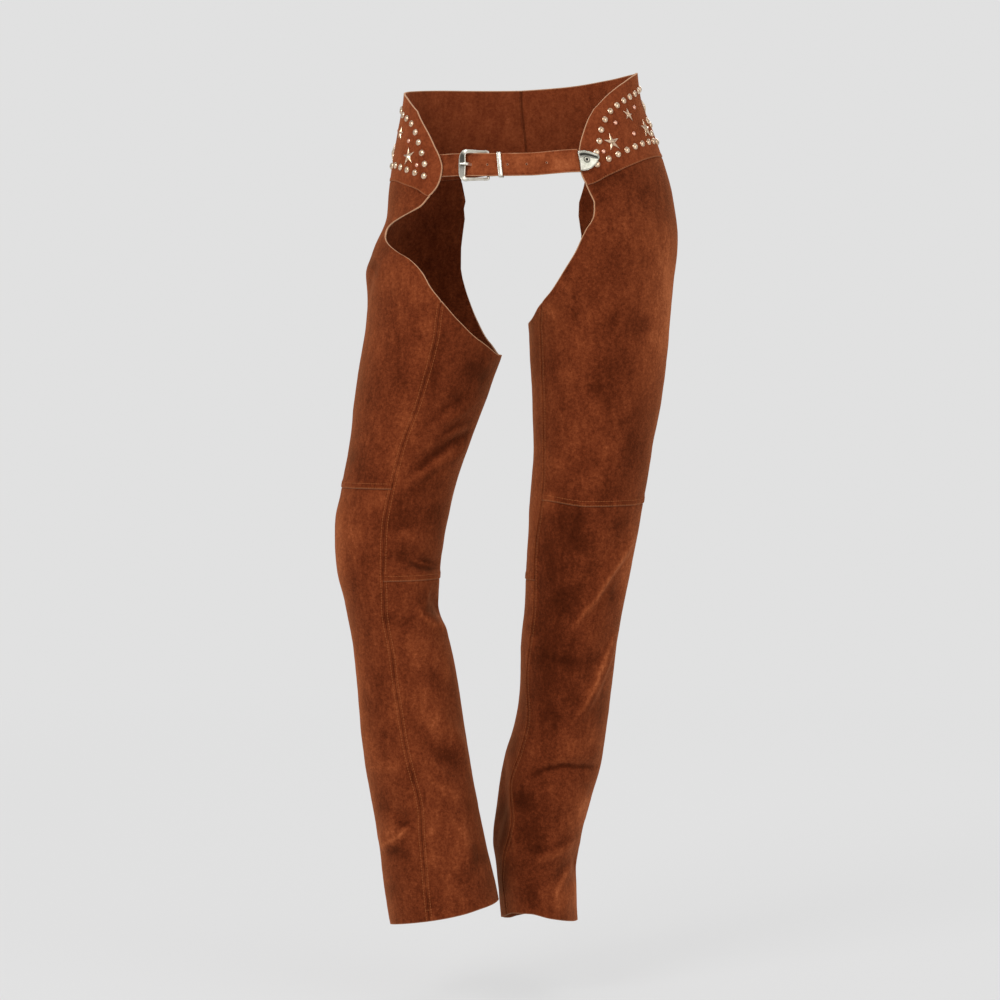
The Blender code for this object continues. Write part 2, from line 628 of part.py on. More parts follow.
def ribbon(name, stations, thickness, shares, gaps, made_of):
    """A strip along the belt. Shares of its half width place the columns, and gaps are open cells."""
    outer, inner = [], []
    last = len(stations) - 1
    for k, station in enumerate(stations):
        before, after = stations[max(k - 1, 0)], stations[min(k + 1, last)]
        run, rise = (after.angle - before.angle) * DEGREE, after.out - before.out
        length = math.hypot(run, rise)
        for share in shares:
            up = station.middle + share * station.half_width
            for points, off in ((outer, thickness / 2), (inner, -thickness / 2)):
                angle = station.angle - rise / length * off / DEGREE
                points.append(belt_point(angle, up, station.out + run / length * off))
    width = len(shares)
    faces = []
    for k in range(last):
        for column in range(width - 1):
            if (k, column) not in gaps:
                a = k * width + column
                faces.append((a, a + width, a + width + 1, a + 1))
    return wall(name, outer, inner, faces, made_of)


def add_billet():
    """The long end: from inside the right yoke, through buckle and keeper, to its tip over the left yoke."""
    stations = [Station(stop.angle, stop.out, HALF_WIDTH, 0) for stop in BILLET_PATH] + list(BILLET_END)
    ribbon("belt_billet", stations, BILLET, (-1, -0.24, 0.24, 1), BILLET_HOLE, suede("belt_billet"))


def add_buckle_strap():
    """The short strap, from inside the left yoke to the bar, round it and back, slotted for the prong."""
    fold = round_the_bar(BAR_RADIUS + BAR_PLAY + BUCKLE_STRAP / 2, 90, 270, 8)
    stops = list(STRAP_PATH) + fold + list(STRAP_RETURN)
    stations = [Station(stop.angle, stop.out, HALF_WIDTH - 0.0006, 0) for stop in stops]
    slot = {(k, 1) for k in range(len(STRAP_PATH) - 1, len(STRAP_PATH) + len(fold))}
    made_of = suede("belt_buckle_strap")
    ribbon("belt_buckle_strap", stations, BUCKLE_STRAP, (-1, -0.26, 0.26, 1), slot, made_of)


def add_prong():
    """Hooked round the bar, up through the billet's hole, and down on the broad front bar."""
    stops = round_the_bar(BAR_RADIUS + BAR_PLAY + PRONG / 2, 200, 450, 10) + list(PRONG_PATH)
    stations = [Station(stop.angle, stop.out, PRONG_HALF_WIDTH, 0) for stop in stops]
    ribbon("buckle_prong", stations, PRONG, (-1, 1), set(), silver("buckle_prong"))


def buckle_rounds():
    """Sections of the frame's bar: up the hidden bar, along the upper arm, down the broad bar, and back.

    The rows below give each section's height as a share of the arm's.
    """
    arm = (
        Round(BAR.angle, 0.76, BAR.out, 0.0015, BAR_RADIUS),
        Round(BAR.angle - 0.3, 1, BAR.out + 0.0006, 0.0018, 0.0015),
        Round(-20.5, 1, -0.0036, 0.0018, 0.0014),
        Round(-23.5, 1, -0.0004, 0.0020, 0.0014),
        Round(-25.4, 1, 0.0018, 0.0023, 0.0015),
        Round(-27.3, 0.96, 0.0029, 0.0034, 0.0016),
        Round(POST_ANGLE - 0.2, 0.62, 0.0030, 0.0044, 0.0016),
        Round(POST_ANGLE, 0.3, 0.0030, 0.0046, 0.0017),
    )
    upper, lower = [], []
    for bar in arm:
        share = (bar.angle - BAR.angle) / (POST_ANGLE - BAR.angle)
        reach = bar.up * (BAR_ARM + (POST_ARM - BAR_ARM) * share)
        drop = BAR_DROP + (POST_DROP - BAR_DROP) * share
        upper.append(bar._replace(up=reach - drop))
        lower.insert(0, bar._replace(up=-reach - drop))
    return upper + lower


def add_buckle_frame():
    rounds = buckle_rounds()
    sides = 8
    points, faces = [], []
    for k, bar in enumerate(rounds):
        before, after = rounds[k - 1], rounds[(k + 1) % len(rounds)]
        run, climb = (after.angle - before.angle) * DEGREE, after.up - before.up
        length = math.hypot(run, climb)
        for side in range(sides):
            turn = math.radians(360 / sides * (side + 0.5))
            across = bar.half_width * math.cos(turn) / math.cos(math.pi / sides)
            depth = bar.half_depth * math.sin(turn) / math.cos(math.pi / sides)
            angle = bar.angle + climb / length * across / DEGREE
            points.append(belt_point(angle, bar.up - run / length * across, bar.out + depth))
    for k in range(len(rounds)):
        after = (k + 1) % len(rounds)
        for side in range(sides):
            beside = (side + 1) % sides
            corners = (k, side), (after, side), (after, beside), (k, beside)
            faces.append(tuple(row * sides + column for row, column in corners))
    solid("buckle_frame", points, faces, silver("buckle_frame"))


def add_keeper():
    """A flat metal loop round both straps, leaning a little."""
    half_height, deep, near, lean = 0.0141, -0.0080, 0.0012, 0.3
    ends = -KEEPER_HALF_LENGTH / DEGREE, KEEPER_HALF_LENGTH / DEGREE
    corners = ((-1, 0), (0, 0), (1, 0), (1, 1), (0.5, 1), (0, 1), (-0.5, 1), (-1, 1))  # (share up, share out)
    points = []
    # four rings: inside and outside at one end, then outside and inside at the other
    for grow, end in ((0, ends[0]), (KEEPER_WALL, ends[0]), (KEEPER_WALL, ends[1]), (0, ends[1])):
        for rise, front in corners:
            up = (half_height + grow) * rise
            out = near + grow if front else deep - grow
            points.append(belt_point(KEEPER_ANGLE - lean * up / half_height + end, up, out))
    count = len(corners)
    faces = []
    for ring in range(4):
        after = (ring + 1) % 4
        for side in range(count):
            beside = (side + 1) % count
            a, b = ring * count, after * count
            faces.append((a + side, b + side, b + beside, a + beside))
    solid("belt_keeper", points, faces, silver("belt_keeper"))


def add_tip():
    """The pointed metal end plate and the head of its rivet."""
    ribbon("belt_tip", TIP_OUTLINE, TIP_PLATE, (-1, -0.5, 0, 0.5, 1), set(), silver("belt_tip"))
    angle, up, out = 23.7, 0.0006, TIP_OUTLINE[0].out + TIP_PLATE / 2 + SEAM_GAP
    middle = Vector(belt_point(angle, up, out + RIVET_HEIGHT / 2))
    turn = (middle - Vector(belt_point(angle, up, out))).to_track_quat("Z", "Y").to_matrix().to_4x4()
    shape = bmesh.new()
    bmesh.ops.create_cone(
        shape,
        cap_ends=True,
        segments=12,
        radius1=RIVET_RADIUS,
        radius2=RIVET_RADIUS * 0.6,
        depth=RIVET_HEIGHT,
        matrix=Matrix.Translation(middle) @ turn,
    )
    add_object("belt_tip_rivet", shape, silver("belt_tip_rivet"))


def main():
    for thing in list(bpy.data.objects):
        bpy.data.objects.remove(thing)
    for half, stars in ((LEFT, LEFT_STARS), (RIGHT, RIGHT_STARS)):
        add_leg(half)
        add_yoke(half)
        for number, star in enumerate(stars, 1):
            add_star(half, number, star)
    add_billet()
    add_buckle_strap()
    add_prong()
    add_buckle_frame()
    add_keeper()
    add_tip()


if __name__ == "__main__":
    main()
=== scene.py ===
"""Worn suede chaps: two full-length legs, a studded hip yoke in two halves and a buckled belt.

Metres, +Z up. The wearer faces -Y and the wearer's left is +X. The origin is the middle of the waist.
"""

import math
from collections import namedtuple

import bmesh
import bpy
import numpy as np
from mathutils import Matrix, Vector


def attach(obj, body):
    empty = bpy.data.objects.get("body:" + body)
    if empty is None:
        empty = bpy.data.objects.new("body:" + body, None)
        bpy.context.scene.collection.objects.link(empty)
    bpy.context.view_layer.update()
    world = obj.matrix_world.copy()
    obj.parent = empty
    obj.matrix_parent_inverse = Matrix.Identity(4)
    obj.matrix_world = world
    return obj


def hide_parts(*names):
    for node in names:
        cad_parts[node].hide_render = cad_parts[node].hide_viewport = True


bl_info = {
    "name": "Suede Chaps",
    "version": (1, 0, 0),
    "blender": (4, 5, 0),
    "location": "View3D > Sidebar > Chaps",
    "description": "Builds worn suede chaps with their topstitching, studs, belt and buckle",
    "category": "Add Mesh",
}

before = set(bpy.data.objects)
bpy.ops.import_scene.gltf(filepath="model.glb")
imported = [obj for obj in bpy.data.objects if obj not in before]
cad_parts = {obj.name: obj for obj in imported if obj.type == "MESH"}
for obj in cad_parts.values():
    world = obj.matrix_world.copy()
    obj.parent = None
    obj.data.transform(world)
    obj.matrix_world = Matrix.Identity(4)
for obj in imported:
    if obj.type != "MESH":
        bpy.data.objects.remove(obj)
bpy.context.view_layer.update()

# --- the wrapping surfaces -------------------------------------------------------------------------
# A place on one is an angle round its section and a height. The angle is 0 in front, 90 at the outer
# side, 180 at the back and 270 (or -90) at the inner side.

Section = namedtuple("Section", "height outer inner front back")
Fold = namedtuple("Fold", "path width lift")
BentRow = namedtuple("BentRow", "base reach line")
Cut = namedtuple(
    "Cut", "top fork front_knee back_knee hem inseam outseam opening seat yoke_front yoke_top bent_rows"
)
MM = 1000  # the rows of the tables are in millimetres and degrees


def section_rows(*rows):
    """Sections from rows of height, outer and inner side, front and back."""
    return tuple(Section(*(value / MM for value in row)) for row in rows)


def pairs(numbers, first=1):
    """Pairs out of a flat run of numbers. The second of each is a height."""
    return tuple((across / first, height / MM) for across, height in zip(numbers[::2], numbers[1::2]))


def fold_rows(*rows):
    """Folds from rows of half width, lift, and the path's angles and heights in turn."""
    return tuple(Fold(pairs(path), width / MM, lift / MM) for width, lift, *path in rows)


WAIST_RING = section_rows(
    (120, 145, -143, -98, 98), (80, 150, -145, -104, 105), (40, 165, -152, -110, 113),
    (0, 179, -159, -114, 120), (-40, 190, -164, -117, 127),
)
LEFT_LEG = section_rows(
    (-95, 197, -85, -118, 130), (-150, 191, -22, -109, 115), (-200, 186, 10, -100, 100),
    (-250, 182, 13, -94, 92), (-300, 176, 16, -88, 86), (-350, 166, 17, -82, 78), (-400, 158, 14, -79, 71),
    (-450, 149, 11, -75, 65), (-500, 140, 8, -70, 64), (-550, 130, 6, -63, 69), (-600, 122, 2, -58, 78),
    (-650, 116, 1, -54, 88), (-700, 110, -6, -50, 94), (-750, 103, -21, -46, 98), (-800, 90, -29, -44, 102),
    (-850, 77, -34, -45, 107), (-890, 71, -29, -47, 113), (-970, 74, -22, -51, 119),
)
RIGHT_LEG = section_rows(
    (-65, -166, 150, -119, 129), (-110, -184, 88, -114, 122), (-138, -192, 48, -112, 116),
    (-165, -190, 16, -110, 110), (-205, -193, -11, -106, 100), (-250, -200, -26, -104, 88),
    (-300, -207, -44, -103, 75), (-350, -212, -63, -104, 62), (-400, -221, -80, -107, 49),
    (-450, -229, -91, -108, 38), (-500, -227, -98, -105, 31), (-545, -218, -101, -100, 28),
    (-600, -207, -86, -94, 31), (-650, -202, -77, -93, 35), (-700, -198, -69, -92, 38),
    (-750, -193, -61, -92, 40), (-800, -184, -52, -92, 40), (-850, -176, -42, -93, 39),
    (-900, -170, -30, -95, 39), (-970, -158, -14, -99, 39),
)

# Folds stand out or sink in. The first rows are the large ones, and the creases lie between them.
LEFT_FOLDS = fold_rows(
    (12, 4.5, 69, -460, 37, -499, 6, -562), (12, 4, 71, -588, 43, -642, 19, -693),
    (14, -2.5, 62, -500, 52, -540), (11, -4, -22, -766, -2, -751, 69, -757), (14, 3, 10, -790, 60, -795),
    (12, 3, -5, -862, 55, -848), (12, -3, 64, -868, 80, -880), (14, 3, 70, -905, 31, -925),
    (14, -3, -80, -735, -62, -800, -75, -860),
)
RIGHT_FOLDS = fold_rows(
    (11, -3.5, -70, -334, -30, -355, -8, -379), (11, 3, -78, -352, -36, -376, -14, -396),
    (11, 2.5, -52, -305, -20, -330), (10, -4.5, -15, -473, -35, -491, -85, -500),
    (13, -5, -56, -532, -90, -552), (11, 3.5, -39, -543, -47, -563, -92, -583),
    (14, 3.5, -27, -671, -73, -737), (14, -3, 1, -696, -28, -733, -60, -760),
    (13, 3, -38, -818, -42, -854, -25, -881), (11, 4, 70, -845, 18, -812), (11, -2.5, 40, -800, 20, -806),
)
LEFT_CREASES = fold_rows(
    (6, -1.6, 72, -474, 42, -512, 12, -572), (6, -1.4, 72, -603, 48, -652, 26, -700),
    (6, 1.2, 66, -742, 20, -737, -4, -742), (5, 1.3, 72, -772, 30, -768, 2, -765),
    (6, 1.4, 23, -820, 44, -839, 72, -846), (5, 1.4, 58, -881, 42, -896, 31, -913),
    (7, -2.2, 150, -480, 185, -500, 225, -492), (6, 1.8, 145, -500, 180, -522, 220, -515),
    (8, -1.8, 160, -545, 195, -560), (10, -2.2, 130, -250, 175, -225, 215, -235),
    (9, 1.8, 140, -270, 180, -250, 225, -262), (8, -2.2, 150, -780, 200, -765, 240, -775),
    (9, 2, 140, -840, 190, -850, 235, -835),
)
RIGHT_CREASES = fold_rows(
    (6, -1.5, -45, -282, -7, -315), (5, -1.4, -52, -311, -25, -333), (6, -1.6, -51, -373, -11, -406),
    (5, 1, -60, -300, -24, -322), (6, 1.4, -20, -462, -50, -478), (6, 1.5, -16, -738, -30, -758, -63, -764),
    (4, -1.4, 32, -802, 24, -810), (10, -1.6, 59, -125, 81, -171), (5, -1.2, 58, -835, 30, -818),
    (7, -2.4, 200, -470, 240, -488, 265, -486), (7, 1.8, 190, -500, 235, -515),
    (9, -2.2, 185, -265, 220, -285, 255, -300), (8, 1.8, 180, -300, 220, -318),
    (9, -2.2, 175, -770, 215, -785, 250, -775), (8, 2, 170, -860, 210, -850, 250, -865),
)


def unit(vectors):
    return vectors / np.linalg.norm(vectors, axis=-1, keepdims=True)


def travelled(points):
    """The length of a line of points up to each of them."""
    return np.pad(np.cumsum(np.linalg.norm(np.diff(points, axis=0), axis=1)), (1, 0))


class Curve:
    """A smooth curve through rows of (place, value, ...). It never swings past its own points."""

    def __init__(self, *rows):
        rows = sorted(tuple(row) for row in rows)
        self.places = np.array([row[0] for row in rows], float)
        self.values = np.array([row[1:] for row in rows], float)
        rates = np.diff(self.values, axis=0) / np.diff(self.places)[:, None]
        self.slopes = np.zeros_like(self.values)
        self.slopes[0], self.slopes[-1] = rates[0], rates[-1]
        before, after = rates[:-1], rates[1:]
        same_way = before * after > 0
        total = np.where(same_way, before + after, 1)
        self.slopes[1:-1] = np.where(same_way, 2 * before * after / total, 0)

    def at(self, places):
        places = np.clip(np.asarray(places, float), self.places[0], self.places[-1])
        k = np.clip(np.searchsorted(self.places, places) - 1, 0, len(self.places) - 2)
        span = (self.places[k + 1] - self.places[k])[..., None]
        t = (places - self.places[k])[..., None] / span
        value = (
            (2 * t**3 - 3 * t**2 + 1) * self.values[k]
            + (t**3 - 2 * t**2 + t) * span * self.slopes[k]
            + (3 * t**2 - 2 * t**3) * self.values[k + 1]
            + (t**3 - t**2) * span * self.slopes[k + 1]
        )
        return value if value.shape[-1] > 1 else value[..., 0]


def turn_line(*rows):
    """A line from rows of height and angle."""
    return Curve(*((height / MM, angle) for height, angle in rows))


def rise_line(*rows):
    """A line from rows of angle and height."""
    return Curve(*((angle, height / MM) for angle, height in rows))


LEFT_CUT = Cut(
    top=0.0075,
    fork=-0.176,
    front_knee=-0.4225,
    back_knee=-0.518,
    hem=-0.945,
    inseam=turn_line(
        (-176, -46), (-205, -57), (-350, -57), (-410, -53), (-480, -58), (-580, -54), (-640, -60),
        (-700, -47), (-735, -46), (-772, -52), (-825, -38), (-905, -59), (-945, -57),
    ),
    outseam=turn_line((8, 100), (-200, 106), (-450, 112), (-945, 114)),
    opening=turn_line(
        (-33, 22.5), (-52, 24), (-61, 22.5), (-70, 20), (-78, 16.5), (-87, 11.5), (-115, -1), (-135, -12.5),
        (-160, -29.5), (-176, -46),
    ),
    seat=rise_line(
        (152, 4), (157, -30), (163, -65), (172, -100), (186, -135), (204, -165), (228, -190), (256, -202),
        (284, -197), (314, -176),
    ),
    yoke_front=turn_line(
        (-33, 22.5), (-18, 21), (-1, 21), (15, 22.5), (29, 25), (46, 29), (60, 34),
    ),
    yoke_top=rise_line(
        (34, 60), (46, 80), (57, 93), (74, 106), (92, 111.5), (106, 111.5), (130, 108), (155, 102),
        (180, 98),
    ),
    bent_rows=(
        BentRow(0.0075, 0.06, rise_line(
            (-100, 7.5), (-20, -23), (22.5, -33), (34, -20.5), (47, -7.5), (62, 2.5), (74, 6), (100, 7.5),
            (140, 4), (180, -5), (260, 7.5),
        )),
        BentRow(-0.4225, 0.03, rise_line(
            (-100, -422.5), (-50, -418.5), (0, -425), (50, -424.5), (97, -422.5), (260, -422.5),
        )),
        BentRow(-0.945, 0.07, rise_line(
            (-100, -953), (-65, -943), (-41, -935), (-13, -933), (16, -939), (82, -952), (140, -957),
            (230, -960), (260, -953),
        )),
    ),
)
RIGHT_CUT = Cut(
    top=-0.022,
    fork=-0.174,
    front_knee=-0.4025,
    back_knee=-0.515,
    hem=-0.943,
    inseam=turn_line(
        (-174, 3), (-225, -2), (-290, -1), (-360, 5), (-515, 4.5), (-590, 11), (-630, 11.5), (-710, 9),
        (-790, 3), (-830, 7), (-900, 12), (-943, 15),
    ),
    outseam=turn_line(
        (-22, 100), (-100, 108), (-200, 130), (-300, 148), (-400, 160), (-943, 172),
    ),
    opening=turn_line(
        (-45.5, 44.5), (-57, 47.5), (-64, 53.5), (-71, 62), (-77, 69), (-83, 72.5), (-91, 70),
        (-98.5, 64.5), (-113, 48), (-122.5, 36), (-136, 25), (-158, 13.5), (-174, 3),
    ),
    seat=rise_line(
        (150, -17), (154, -50), (161, -85), (172, -120), (187, -155), (206, -190), (230, -222), (258, -239),
        (284, -239), (321, -221), (345, -197), (363, -174),
    ),
    yoke_front=turn_line(
        (-45.5, 44.5), (-33, 40.5), (-22, 39), (-11, 38.5), (1, 40), (13, 43), (29, 47.5), (60, 59.5),
    ),
    yoke_top=rise_line(
        (59.5, 60), (68, 70.5), (77, 79.5), (90, 86), (110, 91.5), (140, 96), (180, 98),
    ),
    bent_rows=(
        BentRow(-0.022, 0.06, rise_line(
            (-100, -22), (0, -42), (44.5, -45.5), (52, -37), (59.5, -31.5), (76, -23.5), (100, -22),
            (140, -17), (180, -5), (260, -22),
        )),
        BentRow(-0.943, 0.07, rise_line(
            (-100, -918), (-86, -917), (-46, -920.5), (-21, -926), (11, -933), (98, -949), (140, -953),
            (180, -949), (220, -933), (260, -918),
        )),
    ),
)

LATTICE_SIZE = 64
LATTICE = np.random.default_rng(7).uniform(-1, 1, (LATTICE_SIZE,) * 3)
HIDE_BUMPS = ((0.0007, 0.055), (0.0004, 0.021), (0.00012, 0.008))  # the height and size of each kind


def ripple(points, size):
    """Smooth noise from -1 to 1 with bumps of about that size. Panels that meet get the same value."""
    cells = points / size + 31.7
    base = np.floor(cells).astype(int)
    t = cells - base
    t = t * t * (3 - 2 * t)
    total = 0.0
    for corner in np.ndindex(2, 2, 2):
        k = (base + corner) % LATTICE_SIZE
        share = np.prod(np.where(np.array(corner) == 1, t, 1 - t), axis=-1)
        total = total + LATTICE[k[..., 0], k[..., 1], k[..., 2]] * share
    return total


def smooth_step(low, high, value):
    t = np.clip((value - low) / (high - low), 0, 1)
    return t * t * (3 - 2 * t)


def bell(away, width):
    """1 in the middle, and falling off smoothly to both sides."""
    return np.exp(-((away / width) ** 2))


def faded(share, loss, power):
    """1 in the middle of a path, and less by the loss at its ends."""
    return 1 - loss * np.abs(2 * share - 1) ** power


def line_distance(places, path):
    """How far each place is from a path of straight runs, and the share of the path travelled there."""
    nearest, share = np.full(places.shape[:-1], np.inf), np.zeros(places.shape[:-1])
    lengths = [float(np.linalg.norm(end - start)) for start, end in zip(path, path[1:])]
    passed = 0.0
    for start, end, length in zip(path, path[1:], lengths):
        run = np.clip((places - start) @ (end - start) / length**2, 0, 1)
        away = np.linalg.norm(places - start - run[..., None] * (end - start), axis=-1)
        share = np.where(away < nearest, (passed + run * length) / sum(lengths), share)
        nearest = np.minimum(away, nearest)
        passed += length
    return nearest, share


class Half:
    """One half of the garment: a wrapping surface, and the lines that its pieces are cut to."""

    def __init__(self, name, side, sections, folds=(), cut=None):
        self.name = name
        self.side = side  # 1 for the wearer's left, -1 for the right
        self.sections = Curve(*sections)
        self.folds = folds
        self.cut = cut

    def bare(self, angle, height):
        """The point at that angle and height, before folds."""
        outer, inner, front, back = np.moveaxis(self.sections.at(height), -1, 0)
        turn = np.radians(angle)
        x = (outer + inner) / 2 + (outer - inner) / 2 * np.sin(turn)
        y = (front + back) / 2 - (back - front) / 2 * np.cos(turn)
        return np.stack(np.broadcast_arrays(x, y, height), axis=-1)

    def spread(self, angle, height):
        """How the point moves for a degree of angle, and for a metre of height."""
        turn, rise = 0.5, 0.001
        across = (self.bare(angle + turn, height) - self.bare(angle - turn, height)) / (2 * turn)
        up = (self.bare(angle, height + rise) - self.bare(angle, height - rise)) / (2 * rise)
        return across, up

    def normal(self, angle, height):
        return unit(np.cross(*self.spread(angle, height)) * self.side)

    def fold_lift(self, angle, height):
        """How far the folds lift or sink the surface there."""
        lift = np.zeros(np.broadcast(angle, height).shape)
        for fold in self.folds:
            outer, inner, front, back = self.sections.at(fold.path[0][1])
            metres = math.radians(((outer - inner) * self.side + back - front) / 4)
            first = fold.path[0][0]
            turned = (angle - first + 180) % 360 - 180 + first
            places = np.stack(np.broadcast_arrays(turned * metres, height), axis=-1)
            path = [np.array((turn * metres, rise)) for turn, rise in fold.path]
            nearest, share = line_distance(places, path)
            lift = lift + fold.lift * faded(share, 0.85, 3) * bell(nearest, fold.width)
        return lift

    def relief(self, angle, height):
        """Folds, and the slight unevenness of the hide, which is least at the waist."""
        if not self.folds:
            return 0.0
        place = self.bare(angle, height)
        loose = 0.25 + 0.75 * smooth_step(0.0, -0.15, place[..., 2])
        uneven = sum(rise * ripple(place, size) for rise, size in HIDE_BUMPS)
        return self.fold_lift(angle, height) + loose * uneven

    def point(self, angle, height, out=0.0):
        lift = np.asarray(self.relief(angle, height) + out)
        return self.bare(angle, height) + self.normal(angle, height) * lift[..., None]

    def row_height(self, angle, base):
        """The height, at that angle, of the row that crosses the outer seam at height base."""
        angle = (angle + 100) % 360 - 100
        height = base
        for row in self.cut.bent_rows:
            height = height + (row.line.at(angle) - row.base) * bell(base - row.base, row.reach)
        return height

    def row_start(self, base):
        """The angle where a row meets the front opening or, under the fork, the inner seam."""
        angle = self.cut.opening.at(base)
        for _ in range(60):
            angle = (angle + self.cut.opening.at(self.row_height(angle, base))) / 2
        return np.where(base <= self.cut.fork, self.cut.inseam.at(base), angle)

    def front_place(self, base, share):
        """From the opening or inner seam to the outer seam, on one row."""
        start = self.row_start(base)
        angle = start + (self.cut.outseam.at(base) - start) * share
        return angle, self.row_height(angle, base)

    def back_place(self, base, share):
        """From the outer seam, round the back, to the inner seam."""
        start, end = self.cut.outseam.at(base), self.cut.inseam.at(base) + 360
        angle = start + (end - start) * share
        return angle, self.row_height(angle, base)

    def back_top(self, share):
        """The row where each column of the back meets the yoke seam or the seat's cut."""
        cut = self.cut
        high, low = np.full(share.shape, cut.top), np.full(share.shape, cut.fork - 0.08)
        for _ in range(40):
            middle = (high + low) / 2
            angle, height = self.back_place(middle, share)
            above = height > cut.seat.at(angle)
            high, low = np.where(above, middle, high), np.where(above, low, middle)
        under_yoke = self.back_place(cut.top, share)[0] <= cut.seat.places[0]
        return np.where(under_yoke, cut.top, (high + low) / 2)

    def yoke_place(self, share, rise):
        """Share runs from the yoke's front border to the middle of the back, rise from seam to top."""
        cut = self.cut
        low, high = cut.yoke_front.places[0], cut.yoke_front.places[-1]
        first, last = cut.opening.at(low), cut.yoke_front.at(high)
        seam_angle, top_angle = first + (180 - first) * share, last + (180 - last) * share
        side = low + (high - low) * rise
        angle = (1 - rise) * seam_angle + rise * top_angle
        angle = angle + (1 - share) * (cut.yoke_front.at(side) - (1 - rise) * first - rise * last)
        height = (1 - rise) * self.row_height(seam_angle, cut.top) + rise * cut.yoke_top.at(top_angle)
        return angle, height


LEFT = Half("left", 1, WAIST_RING + LEFT_LEG, LEFT_FOLDS + LEFT_CREASES, LEFT_CUT)
RIGHT_RING = tuple(Section(row.height, row.inner, row.outer, row.front, row.back) for row in WAIST_RING)
RIGHT = Half("right", -1, RIGHT_RING + RIGHT_LEG, RIGHT_FOLDS + RIGHT_CREASES, RIGHT_CUT)
WAIST = Half("waist", 1, WAIST_RING)
HALVES = (LEFT, RIGHT)

# --- materials -------------------------------------------------------------------------------------

Tones = namedtuple("Tones", "dark low middle high pale")
LEG_TONES = Tones((0.042, 0.0070, 0.0018), (0.082, 0.0148, 0.0042), (0.140, 0.0275, 0.0084),
                  (0.222, 0.0500, 0.0155), (0.370, 0.1000, 0.0340))
YOKE_TONES = Tones((0.075, 0.0134, 0.0040), (0.130, 0.0252, 0.0080), (0.195, 0.0405, 0.0130),
                   (0.265, 0.0625, 0.0210), (0.385, 0.1080, 0.0390))
BELT_TONES = Tones((0.095, 0.0180, 0.0054), (0.165, 0.0345, 0.0110), (0.240, 0.0560, 0.0180),
                   (0.318, 0.0830, 0.0285), (0.440, 0.1380, 0.0510))
RAW_EDGE = (0.56, 0.31, 0.17)
SEAM_SHADE = (0.030, 0.0055, 0.0015)
# painted shade for the hollow, shaded places of the metal pieces
HOLLOW_SHADE = (0.020, 0.019, 0.015)



def node_tools(tree):
    """One function adds a node to the tree, and the other sets or links a node's inputs."""

    def join(node, values):
        for key, value in values.items():
            if isinstance(value, bpy.types.NodeSocket):
                tree.links.new(value, node.inputs[key])
            else:
                node.inputs[key].default_value = value

    def add(kind, values=None, **settings):
        node = tree.nodes.new(kind)
        for key, value in settings.items():
            setattr(node, key, value)
        join(node, values or {})
        return node

    return add, join


def material(name, build, *details):
    """The material of that name. Build makes its nodes once, and gives the inputs of its shader."""
    made = bpy.data.materials.get(name)
    if made is None:
        made = bpy.data.materials.new(name)
        made.use_nodes = True
        add, join = node_tools(made.node_tree)
        join(made.node_tree.nodes["Principled BSDF"], build(add, *details))
    return made


def math_node(add, operation, first, second):
    return add("ShaderNodeMath", {0: first, 1: second}, operation=operation).outputs[0]


def colour_mix(add, factor, first, second):
    first, second = (end if isinstance(end, bpy.types.NodeSocket) else (*end, 1) for end in (first, second))
    return add("ShaderNodeMix", {"Factor": factor, 6: first, 7: second}, data_type="RGBA").outputs[2]


def colour_ramp(add, factor, stops):
    ramp = add("ShaderNodeValToRGB", {0: factor})
    elements = ramp.color_ramp.elements
    while len(elements) < len(stops):
        elements.new(0.5)
    for element, (place, colour) in zip(elements, stops):
        element.position = place
        element.color = (*colour, 1)
    return ramp.outputs[0]


def map_range(add, value, low, high, new_low=0.0, new_high=1.0, **settings):
    ends = {"From Min": low, "From Max": high, "To Min": new_low, "To Max": new_high}
    return add("ShaderNodeMapRange", {"Value": value} | ends, **settings).outputs[0]


def object_place(add):
    return add("ShaderNodeTexCoord").outputs["Object"]


def stretched(add, place, share):
    """The place with its height shortened, which draws a texture out along it."""
    return add("ShaderNodeMapping", {"Vector": place, "Scale": (1.0, 1.0, share)}).outputs[0]


def noise(add, place, scale, detail, roughness=0.55, distortion=0.0):
    values = {"Vector": place, "Scale": scale, "Detail": detail, "Roughness": roughness}
    return add("ShaderNodeTexNoise", values | {"Distortion": distortion}).outputs[0]


def attribute(add, name):
    return add("ShaderNodeAttribute", attribute_name=name).outputs["Fac"]


def bump(add, height, strength, distance):
    return add("ShaderNodeBump", {"Height": height, "Strength": strength, "Distance": distance}).outputs[0]


def suede(add, tones):
    """Brushed suede: matt and mottled, with a soft bloom of nap where it turns away."""
    place = object_place(add)
    patches = noise(add, place, 15, 5, 0.6, 0.6)
    mottle = noise(add, stretched(add, place, 0.45), 80, 5, 0.62, 0.4)
    grain = noise(add, place, 260, 4, 0.65)
    nap = noise(add, place, 700, 4, 0.7)
    # marks of the nap's tone, and painted light and shade on folds, silhouettes and creases
    value = math_node(add, "MULTIPLY", attribute(add, "brush"), 0.42)
    for layer, weight in ((patches, 0.45), (mottle, 0.60), (grain, 0.80), (nap, 0.60)):
        centred = math_node(add, "SUBTRACT", layer, 0.5)
        value = math_node(add, "ADD", value, math_node(add, "MULTIPLY", centred, weight))
    value = math_node(add, "ADD", value, 0.5)
    colour = colour_ramp(add, value, list(zip((0.0, 0.28, 0.5, 0.74, 1.0), tones)))
    # painted shade along the seams
    colour = colour_mix(add, attribute(add, "groove"), colour, SEAM_SHADE)
    height = math_node(add, "ADD", nap, math_node(add, "MULTIPLY", grain, 1.2))
    return {
        "Base Color": colour_mix(add, attribute(add, "raw_edge"), colour, RAW_EDGE),
        "Normal": bump(add, height, 0.55, 0.0007),
        "Roughness": 0.95,
        "Specular IOR Level": 0.03,
        "Sheen Weight": 0.42,
        "Sheen Roughness": 0.42,
        "Sheen Tint": (1.0, 0.38, 0.16, 1),
    }


